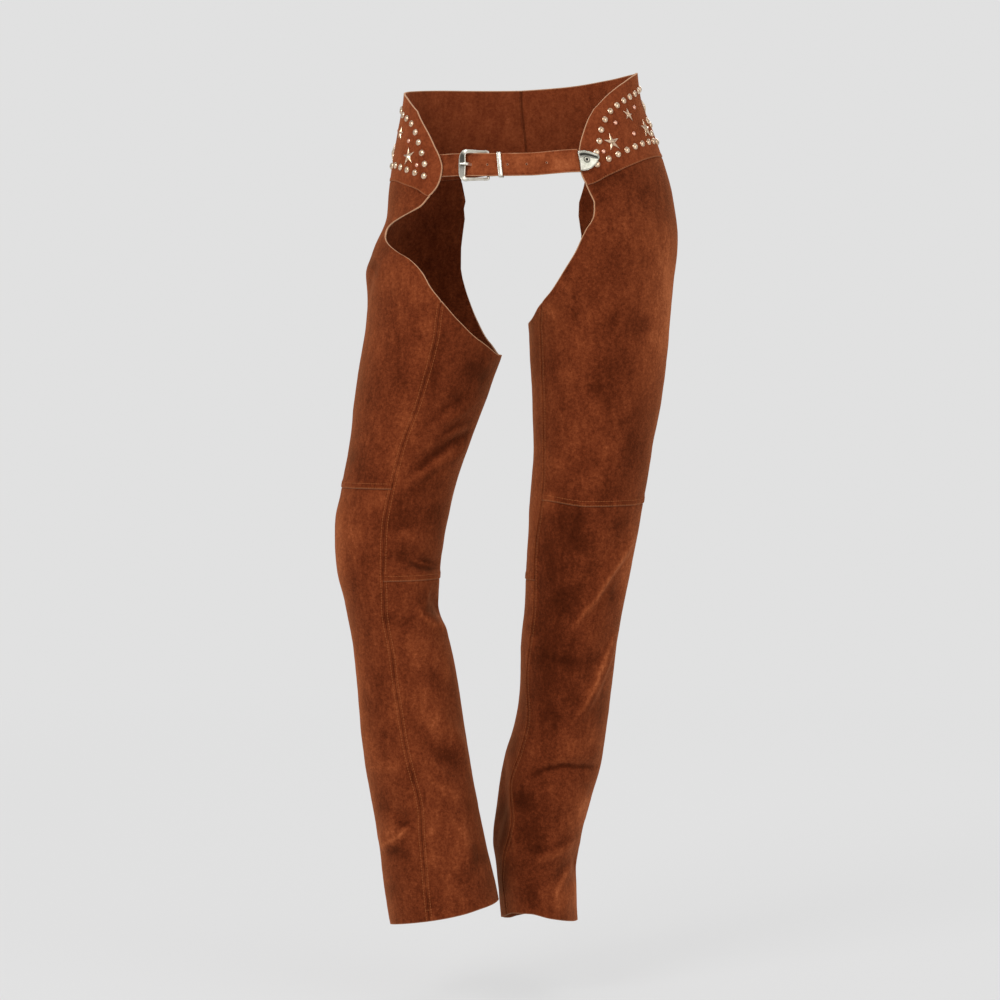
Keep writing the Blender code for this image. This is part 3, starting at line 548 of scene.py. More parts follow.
def fibres(add, texture, relief, shine, dark, pale, closed=None):
    """Short fibres from dark to pale. Closed is the colour where the raw_edge attribute is nil."""
    height = noise(add, object_place(add), *texture)
    colour = colour_mix(add, height, dark, pale)
    if closed:
        colour = colour_mix(add, attribute(add, "raw_edge"), closed, colour)
    roughness, specular = shine
    surface = {"Roughness": roughness, "Specular IOR Level": specular}
    return {"Base Color": colour, "Normal": bump(add, height, *relief)} | surface


def cut_edge_material():
    """The leather's raw section: pale fibres where it is open, and dark painted shade where a seam closes it.
    """
    colours = (0.42, 0.20, 0.10), (0.72, 0.44, 0.28), (0.075, 0.014, 0.004)
    return material("suede_cut_edge", fibres, (900, 3, 0.7), (0.4, 0.0005), (0.9, 0.15), *colours)


def strap_edge_material():
    """The painted-off, slightly worn edge of the belt."""
    colours = (0.40, 0.17, 0.085), (0.66, 0.38, 0.24)
    return material("strap_cut_edge", fibres, (700, 3, 0.7), (0.4, 0.0004), (0.85, 0.5), *colours)


def thread_material():
    """Twisted, slightly waxed thread, paler than the suede."""
    colours = (0.24, 0.062, 0.017), (0.38, 0.120, 0.036)
    return material("topstitch_thread", fibres, (1500, 2), (0.5, 0.0002), (0.8, 0.1), *colours)


def nickel(add, base, tarnish, roughness, scale, reach):
    """Plated metal with fine scratches and clouds of tarnish, and dark painted shade, rougher and less
    metallic, where it is hollow.
    """
    place = object_place(add)
    cloud = noise(add, place, scale, 4, 0.6)
    colour = colour_mix(add, map_range(add, cloud, 0.5 - reach, 0.5 + reach), tarnish, base)
    hollow_shade = attribute(add, "groove")
    scratches = noise(add, stretched(add, place, 0.12), 2200, 2)
    rough = map_range(add, scratches, 0.0, 1.0, roughness * 0.7, roughness * 1.5)
    return {
        "Base Color": colour_mix(add, hollow_shade, colour, HOLLOW_SHADE),
        "Roughness": math_node(add, "ADD", rough, math_node(add, "MULTIPLY", hollow_shade, 0.5)),
        "Normal": bump(add, cloud, 0.2, 0.0003),
        "Metallic": math_node(add, "SUBTRACT", 1.0, hollow_shade),
        "Specular IOR Level": 0.2,
    }


def buckle_metal():
    return material("buckle_nickel", nickel, (0.84, 0.80, 0.71), (0.60, 0.56, 0.46), 0.30, 150, 0.18)


def plate_metal():
    return material("plate_nickel", nickel, (0.57, 0.54, 0.47), (0.37, 0.37, 0.30), 0.26, 150, 0.18)


def stud_metal():
    return material("stud_nickel", nickel, (0.89, 0.69, 0.51), (0.52, 0.33, 0.20), 0.24, 300, 0.14)


def small_stud_metal():
    return material("stud_copper", nickel, (0.98, 0.59, 0.44), (0.76, 0.37, 0.26), 0.26, 300, 0.16)


# --- mesh helpers ----------------------------------------------------------------------------------


def finish_piece(obj, nodes=()):
    """Ties a finished piece to the frame, and hides the parts of model.glb that it stands for."""
    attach(obj, "root")
    if nodes:
        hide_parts(*nodes)
    return obj


def add_object(name, mesh, materials, sharp=None):
    """Puts a mesh into the scene, smooth but for edges over the sharp angle, which is in degrees."""
    for made_of in materials:
        mesh.materials.append(made_of)
    mesh.shade_smooth()
    if sharp:
        mesh.set_sharp_from_angle(angle=math.radians(sharp))
    obj = bpy.data.objects.new(name, mesh)
    bpy.context.scene.collection.objects.link(obj)
    return obj


def add_piece(name, shape, materials, sharp=None):
    """Puts a bmesh into the scene."""
    mesh = bpy.data.meshes.new(name)
    shape.to_mesh(mesh)
    shape.free()
    return add_object(name, mesh, materials, sharp)


def mapped_grid(points, **layers):
    """A grid laid over rows and columns of points. Each layer is a float for every point."""
    rows, columns = points.shape[:2]
    shape = bmesh.new()
    shape.loops.layers.uv.new("cut")
    bmesh.ops.create_grid(shape, x_segments=columns - 1, y_segments=rows - 1, size=0.5, calc_uvs=True)
    kept = {name: shape.verts.layers.float.new(name) for name in layers}
    for vert in shape.verts:
        column = round((vert.co.x + 0.5) * (columns - 1))
        row = round((vert.co.y + 0.5) * (rows - 1))
        vert.co = points[row, column]
        for name, layer in kept.items():
            vert[layer] = layers[name][row, column]
    return shape


def face_out(shape, outward):
    """Turns the grid's faces to the side that outward, one vector for each face's middle, points to."""
    agreement = 0.0
    for face in shape.faces:
        agreement += face.normal.dot(outward(face.calc_center_median())) * face.calc_area()
    if agreement < 0:
        bmesh.ops.reverse_faces(shape, faces=shape.faces)


def right_side_out(shape):
    """Makes a closed shape's faces agree and look outward."""
    bmesh.ops.recalc_face_normals(shape, faces=shape.faces)
    if shape.calc_volume(signed=True) < 0:
        bmesh.ops.reverse_faces(shape, faces=shape.faces)


def close_holes(shape):
    bmesh.ops.holes_fill(shape, edges=[edge for edge in shape.edges if edge.is_boundary], sides=0)


def tube(points, caps=False, **layers):
    """A closed skin over rings of points: the last ring joins the first unless it has caps."""
    wrap = (0, 0 if caps else 1), (0, 1)
    layers = {name: np.pad(layer, wrap, mode="wrap") for name, layer in layers.items()}
    shape = mapped_grid(np.pad(points, (*wrap, (0, 0)), mode="wrap"), **layers)
    bmesh.ops.remove_doubles(shape, verts=shape.verts, dist=1e-7)
    if caps:
        close_holes(shape)
    right_side_out(shape)
    return shape


def cut_away(obj, cutter, lining, shortest):
    """Cuts a bmesh out of an object. Lining is the cut's material index, and shortest its least edge."""
    tool = add_piece("cutter", cutter, list(obj.data.materials))
    for face in tool.data.polygons:
        face.material_index = lining
    cut = obj.modifiers.new("cut", "BOOLEAN")
    cut.operation = "DIFFERENCE"
    cut.solver = "EXACT"
    cut.object = tool
    baked = bpy.data.meshes.new_from_object(obj.evaluated_get(bpy.context.evaluated_depsgraph_get()))
    shape = bmesh.new()
    shape.from_mesh(baked)
    bmesh.ops.dissolve_degenerate(shape, dist=shortest, edges=shape.edges)
    shape.to_mesh(baked)
    shape.free()
    obj.modifiers.clear()
    obj.data = baked
    bpy.data.objects.remove(tool)


def add_solidify(obj, thickness, offset, rim=1):
    thick = obj.modifiers.new("thickness", "SOLIDIFY")
    thick.thickness = thickness
    thick.offset = offset
    thick.material_offset_rim = rim


def add_bevel(obj, width):
    bevel = obj.modifiers.new("worn edges", "BEVEL")
    bevel.width = width
    bevel.segments = 2
    bevel.limit_method = "ANGLE"
    bevel.angle_limit = math.radians(50)


def lay_copies(name, prototype, middles, alongs, normals, made_of, sharp=None):
    """One mesh of copies of a prototype: its X follows alongs, and its Z the normals."""
    prototype.verts.index_update()
    local = np.array([vert.co[:] for vert in prototype.verts])
    faces = [[vert.index for vert in face.verts] for face in prototype.faces]
    prototype.free()
    alongs = unit(alongs - normals * np.sum(alongs * normals, axis=1, keepdims=True))
    axes = np.stack([alongs, np.cross(normals, alongs), normals], axis=2)
    placed = np.einsum("nij,mj->nmi", axes, local) + middles[:, None, :]
    copies = [[k + len(local) * n for k in face] for n in range(len(middles)) for face in faces]
    mesh = bpy.data.meshes.new(name)
    mesh.from_pydata(placed.reshape(-1, 3).tolist(), [], copies)
    return add_object(name, mesh, [made_of], sharp)


# --- leather panels --------------------------------------------------------------------------------

# Each panel runs a hair past its border, so that no light shows through a seam.
EDGE_STEPS = (-0.00006, 0.00016, 0.0007, 0.0013, 0.0020, 0.0028, 0.0037, 0.0047, 0.0058, 0.0070, 0.0085)
STITCH_IN = 0.0034  # topstitching's distance from a felled seam
LAP_ROWS = (0.0014, 0.0064)  # topstitching's distances over a lapped seam
STROKE_RELIEF = 0.0014  # how far a full mark of nap tone, painted light and shade stands out or sinks
FOLD_SHADE, FOLD_LIMIT = 22, 0.006  # how much painted light a metre of fold lays on a ridge and painted shade in a trough, and the most that counts
BLEND = 0.001  # half the height over which one style of border turns into another
# The sizes that the panels' meshes are spaced for.
FRONT_WIDTH, BACK_WIDTH, THIGH_LENGTH = 0.19, 0.23, 0.30
YOKE_LENGTH, YOKE_HEIGHT = 0.32, 0.105


def graded(length, pitch):
    """Shares of a length: close together near both ends, and a pitch apart between."""
    near = np.array(EDGE_STEPS) / length
    count = max(int(round((length - 2 * EDGE_STEPS[-1]) / pitch)), 2)
    middle = np.linspace(near[-1], 1 - near[-1], count + 1)[1:-1]
    return np.concatenate([near, middle, 1 - near[::-1]])


# Every seam profile is level right at the border, so that both sides of a seam thicken the same way.
def felled(away):
    """A seam with its allowances stitched down on both sides."""
    raised = 0.0007 * smooth_step(0.0002, 0.0016, away) - 0.0003 - 0.0004 * smooth_step(0.0040, 0.0085, away)
    return raised - 0.0003 * bell(away - STITCH_IN, 0.0008)


def lapped(away):
    """The upper side of a lapped seam, with two rows of topstitching."""
    raised = 0.0009 * smooth_step(0.011, 0.006, away) - 0.0003 * smooth_step(0.0010, 0.0002, away)
    for row in LAP_ROWS:
        raised = raised - 0.0003 * bell(away - row, 0.0007)
    return raised


def lapped_once(away):
    """The upper side of a lapped seam, with one row of topstitching at its edge."""
    return 0.0006 * smooth_step(0.006, 0.003, away) - 0.0002 * bell(away - LAP_ROWS[0], 0.0007)


def tucked(away):
    """The lower side of a lapped seam."""
    return -0.0005 * bell(away, 0.002)


PROFILES = {"felled": felled, "lapped": lapped, "lapped_once": lapped_once, "tucked": tucked}
# How strongly painted shade darkens each style of seam along its border
GROOVES = {"felled": 0.50, "tucked": 0.25}
RAW = {"open": 1.0, "hem": 0.35, "lapped": 0.18, "lapped_once": 0.22}
GROOVE_WIDTH, RAW_WIDTH, RAW_CORE = 0.0007, 0.0013, 0.0003

Stroke = namedtuple("Stroke", "path width shade")


def mark_rows(*rows):
    """Marks of nap tone and of painted light and shade, from rows of half width, shade in percent, and places
    across and up in turn.
    """
    return tuple(Stroke(pairs(path, MM), width / MM, shade / 100) for width, shade, *path in rows)


# The marks lie as they are seen from the front. A shade over nil is paler than the suede round it.
# Some marks are the nap's own brushed tone; the others are painted highlights on fold ridges and near the
# silhouettes, and painted shade in creases and under the yoke.
RIGHT_STROKES = mark_rows(
    (32, -22, -85, -250, -100, -370), (26, 18, -125, -140, -142, -175), (16, -16, -201, -350, -196, -395),
    (24, -18, -150, -422, -128, -452), (20, 18, -208, -425, -202, -470), (14, -30, -205, -220, -215, -300),
    (45, 16, -155, -560, -140, -800), (18, -30, -205, -345, -205, -380), (26, -22, -145, -600, -142, -640),
    (16, 25, -165, -800, -160, -830), (20, -25, -75, -860, -65, -890), (15, -60, -190, -128, -178, -122),
    (9, -35, -172, -105, -160, -112), (22, 25, -165, -150, -150, -145), (14, 25, -135, -172, -120, -190),
    (10, 28, -107, -180, -124, -246, -146, -350, -153, -395), (9, -30, -123, -215, -121, -222),
    (10, -22, -94, -215, -100, -245, -112, -290), (18, -50, -62, -246, -50, -262, -43, -275),
    (8, -35, -40, -262, -48, -290), (3.5, -45, -62, -288, -92, -304, -118, -326),
    (3.5, -45, -64, -318, -84, -329, -102, -346), (4.5, -75, -58, -333, -85, -348, -112, -366, -136, -386),
    (3, 30, -62, -327, -90, -338, -115, -353), (3.5, 35, -78, -352, -105, -368, -130, -388),
    (4.5, -40, -74, -366, -100, -378, -124, -397), (10, -40, -112, -396, -140, -412, -158, -425),
    (17, -45, -108, -420, -106, -445), (18, -45, -150, -428, -146, -455), (9, 50, -150, -463, -125, -460),
    (8, -40, -162, -483, -135, -484, -118, -492, -102, -504),
    (2.6, -90, -136, -492, -124, -497, -113, -501, -102, -502),
    (2.2, -60, -121, -488, -110, -492, -101, -497), (1.8, 45, -128, -490, -115, -495.5, -104, -498.5),
    (6, 25, -140, -512, -110, -520), (10, 30, -180, -412, -165, -418),
    (10, 55, -222, -420, -226, -450, -223, -500, -218, -530), (16, 30, -208, -440, -200, -500),
    (10, -25, -192, -385, -165, -392), (12, -25, -200, -480, -185, -485), (7, 30, -172, -512, -162, -515),
    (9, -45, -170, -560, -145, -568, -128, -562), (9, -60, -114, -545, -106, -560),
    (2.6, 65, -126, -548, -121, -560, -112, -569, -96, -574), (10, 20, -170, -590, -150, -600),
    (16, 45, -135, -608, -118, -618), (9, 25, -152, -640, -155, -655), (10, 30, -98, -600, -90, -640),
    (12, -30, -108, -622, -106, -640), (10, -35, -148, -665, -130, -690, -112, -715, -85, -735),
    (12, 40, -118, -675, -105, -692, -90, -705), (18, -30, -170, -700, -150, -710),
    (9, 40, -175, -745, -150, -745), (9, -35, -137, -742, -125, -765),
    (6, 40, -115, -755, -90, -775, -70, -787), (12, -30, -100, -725, -80, -742),
    (8, 25, -160, -790, -152, -798), (8, -20, -172, -790, -165, -800), (7, -25, -145, -795, -143, -815),
    (8, 40, -182, -842, -170, -836, -158, -828, -148, -820),
    (3, 75, -172, -848, -162, -841, -146, -829, -137, -818), (2, -80, -151, -811, -144, -816, -138, -812),
    (4, -45, -168, -857, -150, -847), (10, -45, -160, -852, -135, -858), (12, 35, -112, -812, -108, -828),
    (14, 35, -78, -812, -68, -830, -75, -846), (8, 40, -122, -852, -100, -862),
    (9, -55, -60, -842, -50, -868), (9, -20, -112, -880, -115, -925), (18, -20, -150, -890, -148, -915),
    (10, 25, -72, -850, -90, -880, -75, -905), (5, 35, -118, -870, -116, -930),
    (8, 35, -205, -580, -200, -660, -195, -740), (6, 30, -188, -700, -180, -800),
    (12, -20, -175, -620, -172, -680),
)
LEFT_STROKES = mark_rows(
    (30, 22, 135, -80, 130, -110), (30, 12, 85, -210, 90, -250), (38, -48, 55, -450, 45, -620, 35, -700),
    (26, 22, 48, -650, 52, -695), (30, -30, 12, -780, 18, -890), (26, -25, 60, -650, 56, -700),
    (12, -50, 85, -30, 112, -22, 130, -20), (12, -40, 100, -45, 100, -60), (14, -35, 148, -30, 152, -60),
    (12, 30, 160, -75, 150, -85), (20, 45, 175, -80, 178, -150, 168, -220, 158, -290),
    (12, 48, 186, -90, 186, -175, 178, -250), (18, 25, 160, -130, 155, -160, 165, -190),
    (22, -20, 115, -100, 118, -165), (18, -40, 110, -190, 118, -200), (13, -40, 142, -190, 148, -215),
    (24, -35, 112, -225, 115, -265), (14, 45, 38, -175, 28, -190), (12, 30, 60, -150, 50, -165),
    (9, -35, 66, -180, 64, -192), (10, 20, 82, -180, 80, -200), (14, -30, 33, -240, 40, -262),
    (12, 15, 52, -255, 60, -275), (12, -50, 90, -270, 92, -292), (14, -40, 110, -285, 118, -310),
    (10, -40, 54, -298, 60, -306), (14, -30, 140, -305, 152, -315), (11, 40, 40, -365, 44, -378),
    (9, 40, 103, -340, 108, -365), (12, -45, 132, -330, 136, -365, 134, -385),
    (14, -50, 100, -385, 108, -410, 120, -400), (9, 45, 94, -385, 82, -405), (10, 60, 28, -418, 45, -416),
    (10, 15, 62, -345, 62, -365), (12, -15, 25, -320, 28, -345), (18, -50, 45, -440, 80, -438),
    (18, -45, 55, -460, 85, -470), (12, -25, 115, -440, 122, -455),
    (8, 50, 145, -425, 135, -490, 122, -560), (10, 25, 112, -508, 80, -560),
    (2.4, 90, 136, -470, 119, -497, 90, -542, 64, -577), (10, -30, 102, -490, 86, -512),
    (10, -35, 118, -525, 112, -545), (10, -30, 48, -500, 62, -500), (6, 35, 50, -518, 78, -514),
    (16, -50, 36, -530, 52, -545, 68, -560), (14, -40, 30, -590, 26, -615),
    (9, -50, 35, -612, 65, -618, 95, -614), (10, 25, 85, -592, 98, -590), (12, -35, 22, -560, 20, -585),
    (12, -15, 55, -655, 70, -650), (10, -50, 30, -672, 40, -700, 42, -715),
    (2.4, 90, 118, -584, 104, -616, 85, -662, 65, -695), (7, -35, 106, -655, 98, -690),
    (14, 40, 95, -700, 90, -730), (12, 40, 68, -712, 70, -738),
    (3.2, -95, 12, -763, 28, -753, 49, -748, 97, -754), (9, -20, 20, -770, 85, -762),
    (3.5, 30, 34, -745, 60, -742), (10, 20, 40, -775, 30, -780), (12, -50, 0, -780, 5, -800),
    (16, 35, 60, -800, 78, -800, 62, -825), (2.8, 35, 66, -803, 59, -815, 66, -828, 76, -824),
    (10, 45, 85, -790, 75, -830), (18, -40, 2, -825, 18, -840, 30, -830),
    (5, 45, 18, -866, 45, -859, 68, -846), (4.5, -45, 10, -852, 40, -851, 62, -840),
    (5, -50, 40, -892, 48, -883, 62, -868), (2.6, 60, 45.5, -926, 44.8, -907, 51.6, -893, 64, -877),
    (13, 40, 50, -900, 52, -930), (7, 60, 68, -900, 70, -935), (13, -50, 6, -895, 8, -925),
    (10, -30, -12, -875, -8, -890), (8, -100, -22, -800, -22, -850), (4, 50, -10, -795, -8, -860),
    (7, 55, 12, -225, 18, -330, 12, -540, 6, -660), (6, -40, -8, -715, -12, -740),
    (10, 20, 14, -722, 20, -735),
)


MIDDLES = {  # how far across each leg's middle runs at some heights, from the waist down
    "left": Curve((0.0, 0.10), (-0.3, 0.09), (-0.6, 0.06), (-0.95, 0.02)),
    "right": Curve((0.0, -0.10), (-0.3, -0.13), (-0.6, -0.15), (-0.95, -0.10)),
}


BLOTS, LINES = 30, 22
BLOT_LIMITS, LINE_LIMITS = ((0.007, 0.018), (-0.45, 0.40)), ((0.0025, 0.0045), (-0.75, 0.65))


def back_strokes(name, seed):
    """Soft blots and narrow fold lines on a leg's back, placed at random but always alike."""
    chance = np.random.default_rng(seed)
    found = []
    for number in range(BLOTS + LINES):
        height = chance.uniform(-0.93, -0.03)
        start = np.array((MIDDLES[name].at(height) + chance.uniform(-0.07, 0.07), height))
        run = chance.uniform(0.010, 0.055) * np.array((chance.uniform(-1, 1), chance.uniform(-0.7, 0.7)))
        bend = run * 0.5 + chance.uniform(-0.006, 0.006, 2)
        width, shade = BLOT_LIMITS if number < BLOTS else LINE_LIMITS
        path = start, start + bend, start + run
        found.append(Stroke(path, chance.uniform(*width), chance.uniform(*shade)))
    return found


STROKES = {
    "left": (LEFT_STROKES, back_strokes("left", 11)),
    "right": (RIGHT_STROKES, back_strokes("right", 12)),
}
WANDER = 0.007  # the farthest that a wide mark strays from its path
WIDE_STROKE = 0.012  # a narrower mark strays less


def stroke_shade(strokes, places, strays):
    """The sum of the marks at each (across, height) place. Strays moves the places, most for wide marks."""
    value = np.zeros(places.shape[:-1])
    flat, flat_places, flat_strays = value.reshape(-1), places.reshape(-1, 2), strays.reshape(-1, 2)
    for stroke in strokes:
        path = np.array(stroke.path)
        reach = 3 * stroke.width + WANDER
        inside = (flat_places > path.min(axis=0) - reach) & (flat_places < path.max(axis=0) + reach)
        near = np.nonzero(inside.all(axis=1))[0]
        if not len(near):
            continue
        loose = min(stroke.width / WIDE_STROKE, 1)
        away, share = line_distance(flat_places[near] + flat_strays[near] * loose, path)
        flat[near] += stroke.shade * faded(share, 0.7, 4) * bell(away, stroke.width)
    return value


def nap_and_painted_light(half, points, normals):
    """How pale or dark each point is marked, by the nap's brushed tone and by painted light and shade."""
    shifted = (points, points + 3.1)
    strays = [0.004 * ripple(place, 0.017) + 0.0022 * ripple(place + 1.7, 0.006) for place in shifted]
    places, strays = points[..., (0, 2)], np.stack(strays, axis=-1)
    front, back = (stroke_shade(strokes, places, strays) for strokes in STROKES[half.name])
    faces_front = smooth_step(0.15, -0.25, normals[..., 1])
    faces_back = smooth_step(-0.15, 0.25, normals[..., 1])
    return faces_front * front + faces_back * back


def border_distances(points):
    """How far each point of a grid is from its first and last column and row."""
    across = np.linalg.norm(np.diff(points, axis=1), axis=-1)
    down = np.linalg.norm(np.diff(points, axis=0), axis=-1)
    start = np.pad(np.cumsum(across, axis=1), ((0, 0), (1, 0)))
    top = np.pad(np.cumsum(down, axis=0), ((1, 0), (0, 0)))
    return {"start": start, "end": start[:, -1:] - start, "top": top, "bottom": top[-1:] - top}


def grid_area(points):
    diagonals = points[1:, 1:] - points[:-1, :-1], points[1:, :-1] - points[:-1, 1:]
    return float(np.linalg.norm(np.cross(*diagonals), axis=-1).sum() / 2)


def leather_panel(half, node, place, thickness, made_of, **borders):
    """A leather piece over a grid of angles and heights. Each border gives its styles and their shares."""
    base, normals = half.bare(*place), half.normal(*place)
    away = border_distances(base)
    brush = nap_and_painted_light(half, base, normals)
    groove, raw = np.zeros(brush.shape), np.zeros(brush.shape)
    lift = half.relief(*place) + STROKE_RELIEF * np.clip(brush, -1, 1)
    # painted light on the folds' ridges and painted shade in their troughs
    brush = brush + FOLD_SHADE * np.clip(half.fold_lift(*place), -FOLD_LIMIT, FOLD_LIMIT)
    for side, styles in borders.items():
        for style, share in styles.items():
            if style in PROFILES:
                lift = lift + PROFILES[style](away[side]) * share
            groove = np.maximum(groove, GROOVES.get(style, 0.0) * bell(away[side], GROOVE_WIDTH) * share)
            raw = np.maximum(raw, RAW.get(style, 0.0) * smooth_step(RAW_WIDTH, RAW_CORE, away[side]) * share)
    shape = mapped_grid(base + normals * lift[..., None], brush=brush, groove=groove, raw_edge=raw)
    shape.normal_update()
    middle = place[1].mean()
    centre = Vector(half.bare(0.0, middle) + half.bare(180.0, middle)) / 2
    face_out(shape, lambda point: point - Vector((centre.x, centre.y, point.z)))
    obj = add_piece(node + "_suede", shape, [made_of, cut_edge_material()])
    add_solidify(obj, thickness, -1)
    area = grid_area(base)
    finish_piece(obj, [node])


def leg_panels(half, thickness, pitch, made_of):
    cut = half.cut
    felled_seam, tucked_seam, lapped_seam, hem = {"felled": 1}, {"tucked": 1}, {"lapped": 1}, {"hem": 1}

    columns = graded(FRONT_WIDTH, pitch)
    for piece, high, low, bottom in (
        ("_thigh_front", cut.top, cut.front_knee, lapped_seam),
        ("_shin_front", cut.front_knee, cut.hem, hem),
    ):
        rows = (high + (low - high) * graded(high - low, pitch))[:, None]
        opened = smooth_step(cut.fork - BLEND, cut.fork + BLEND, rows)
        leather_panel(
            half, half.name + piece, half.front_place(rows, columns), thickness, made_of,
            start={"open": opened, "felled": 1 - opened}, end=felled_seam, top=tucked_seam, bottom=bottom,
        )

    columns = graded(BACK_WIDTH, pitch)
    tops = half.back_top(columns)
    seat_part = smooth_step(0.0, 2 * BLEND, cut.top - tops)
    under_seat = {"open": seat_part, "tucked": 1 - seat_part}
    thigh = tops + (cut.back_knee - tops) * graded(THIGH_LENGTH, pitch)[:, None]
    calf_length = cut.back_knee - cut.hem
    calf = (cut.back_knee - calf_length * graded(calf_length, pitch))[:, None]
    for piece, base, top, bottom in (
        ("_thigh_back", thigh, under_seat, lapped_seam),
        ("_calf_back", calf, tucked_seam, hem),
    ):
        leather_panel(
            half, half.name + piece, half.back_place(base, columns), thickness, made_of,
            start=felled_seam, end=felled_seam, top=top, bottom=bottom,
        )


def yoke_panel(half, thickness, pitch, made_of):
    place = half.yoke_place(graded(YOKE_LENGTH, pitch), 1 - graded(YOKE_HEIGHT, pitch)[:, None])
    leather_panel(
        half, half.name + "_yoke", place, thickness, made_of,
        start={"open": 1}, end={"felled": 1}, top={"open": 1}, bottom={"lapped_once": 1},
    )


# --- topstitching ----------------------------------------------------------------------------------

THREAD_OUT = 0.0001  # how far the thread's middle stands out of its seam
TACK_HEIGHT, TACK_REACH = 0.014, 4.5  # a bar tack's height over the hem, and its reach to both sides


def seam_rows(half):
    """Every row of topstitching as (angles, heights, out)."""
    cut = half.cut

    def sideways(angle, height, away):
        return angle + away / np.linalg.norm(half.spread(angle, height)[0], axis=-1)

    on_felled = felled(STITCH_IN) + THREAD_OUT
    for seam, high in ((cut.inseam, cut.fork - 0.003), (cut.outseam, cut.top - 0.002)):
        base = np.linspace(high, cut.hem + 0.001, 500)
        angle = seam.at(base)
        height = half.row_height(angle, base)
        for away in (-STITCH_IN, STITCH_IN):
            yield sideways(angle, height, away), height, on_felled
    knee = half.row_start(cut.front_knee) + 2, cut.outseam.at(cut.front_knee) - 2
    back = cut.outseam.at(cut.back_knee) + 2, cut.inseam.at(cut.back_knee) + 358
    for away in LAP_ROWS:
        for ends, row in ((knee, cut.front_knee), (back, cut.back_knee)):
            angle = np.linspace(*ends, 300)
            yield angle, half.row_height(angle, row) + away, lapped(away) + THREAD_OUT
    away = LAP_ROWS[0]
    angle = np.linspace(cut.opening.at(cut.yoke_front.places[0]) + 1, 179, 300)
    yield angle, half.row_height(angle, cut.top) + away, lapped_once(away) + THREAD_OUT
    heights = np.linspace(half.row_height(180.0, cut.top) + 0.001, cut.yoke_top.at(180) - 0.001, 60)
    yield sideways(180 + 0 * heights, heights, -STITCH_IN), heights, on_felled
    for seam in (cut.inseam, cut.outseam):
        middle = seam.at(cut.hem + TACK_HEIGHT)
        angle = np.linspace(middle - TACK_REACH, middle + TACK_REACH, 12)
        yield angle, half.row_height(angle, cut.hem + TACK_HEIGHT), on_felled + 2 * THREAD_OUT


def stitch_shape(length, width):
    shape = bmesh.new()
    bmesh.ops.create_uvsphere(shape, u_segments=6, v_segments=4, radius=0.5)
    bmesh.ops.rotate(shape, verts=shape.verts, cent=(0, 0, 0), matrix=Matrix.Rotation(math.pi / 2, 3, "Y"))
    bmesh.ops.scale(shape, verts=shape.verts, vec=(length, width, width * 0.8))
    return shape


def topstitching(half, length, pitch, width):
    """Stitches of that length and width, a pitch apart along every row."""
    rows = []
    for angle, height, out in seam_rows(half):
        base, normals = half.bare(angle, height), half.normal(angle, height)
        lift = half.relief(angle, height) + STROKE_RELIEF * np.clip(nap_and_painted_light(half, base, normals), -1, 1) + out
        points = base + normals * lift[..., None]
        lengths = travelled(points)
        stops = np.arange(pitch / 2, lengths[-1], pitch)
        directions = np.gradient(points, lengths, axis=0)
        middles, alongs = (
            np.stack([np.interp(stops, lengths, line) for line in lines.T], axis=1)
            for lines in (points, directions)
        )
        angle, height = np.interp(stops, lengths, angle), np.interp(stops, lengths, height)
        rows.append((middles, alongs, half.normal(angle, height)))
    stitches = [np.concatenate(parts) for parts in zip(*rows)]
    name = half.name + "_topstitching"
    finish_piece(lay_copies(name, stitch_shape(length, width), *stitches, thread_material()))


# --- studs -----------------------------------------------------------------------------------------

Spot = namedtuple("Spot", "angle height")
Star = namedtuple("Star", "angle height radius turn")


def spot_rows(*rows):
    """Places from rows of angle and height."""
    return tuple(Spot(*place) for place in pairs(sum(rows, ())))


def star_rows(*rows):
    """Stars from rows of angle, height, radius in metres, and turn in degrees."""
    return tuple(Star(angle, height / MM, radius, turn) for angle, height, radius, turn in rows)


BIG_STAR, SMALL_STAR = 0.0117, 0.0084
LEFT_STARS = star_rows(
    (39, 19.7, BIG_STAR, 8), (55.5, 55, SMALL_STAR, -10), (68.5, 39, BIG_STAR, 0), (86, 69, SMALL_STAR, 14),
    (101, 45, BIG_STAR, -8), (119, 69, SMALL_STAR, 10), (134, 42, BIG_STAR, 0), (152, 65, SMALL_STAR, -12),
    (168, 40, BIG_STAR, 8),
)
RIGHT_STARS = star_rows(
    (61, 4.6, BIG_STAR, -8), (74.5, 34.5, SMALL_STAR, 10), (88, 12, BIG_STAR, 0),
    (103, 45, SMALL_STAR, -10), (119, 22, BIG_STAR, 8), (136, 52, SMALL_STAR, -8), (152, 28, BIG_STAR, 0),
    (168, 58, SMALL_STAR, 12),
)
# The rows of round studs start in the yoke's lower front corner and run up its front border.
LEFT_BORDER = spot_rows(
    (28.7, -8), (29.4, 6.2), (32, 19.7), (34.3, 33.5), (37.8, 46.4), (43.7, 59), (50.3, 66.9), (57.6, 74),
    (65.3, 79.7), (73, 84.3),
)
RIGHT_BORDER = spot_rows(
    (48.3, -20.8), (48.2, -7.4), (50.8, 6.9), (54, 20.2), (57.4, 32.7), (62.2, 44.3), (69.1, 52), (76, 57),
)
LEFT_SMALL = spot_rows((64.4, 65), (44.1, 43.8), (54.8, 31.7), (33.1, 7.8))
RIGHT_SMALL = spot_rows((62.7, 23.5), (53.5, -6.9))
LEFT_LOOSE = spot_rows((75.1, 34.2), (81, 45.7), (76.8, 50.2))
STUD_PITCH = 0.0150
STUD_OUT = 0.0002  # how far a stud's base stands out of the leather
TOP_MARGIN, SEAM_MARGIN = 0.0200, 0.0187
LAST_ANGLE = 176  # where the rows of round studs end, near the middle of the back
FIRST_BETWEEN, BETWEEN_LIFT = 80, 0.012  # small studs follow over the gaps between stars, from this angle on
STAR_WAIST, STAR_RIM, STAR_PEAK = 0.34, 0.0006, 0.0030


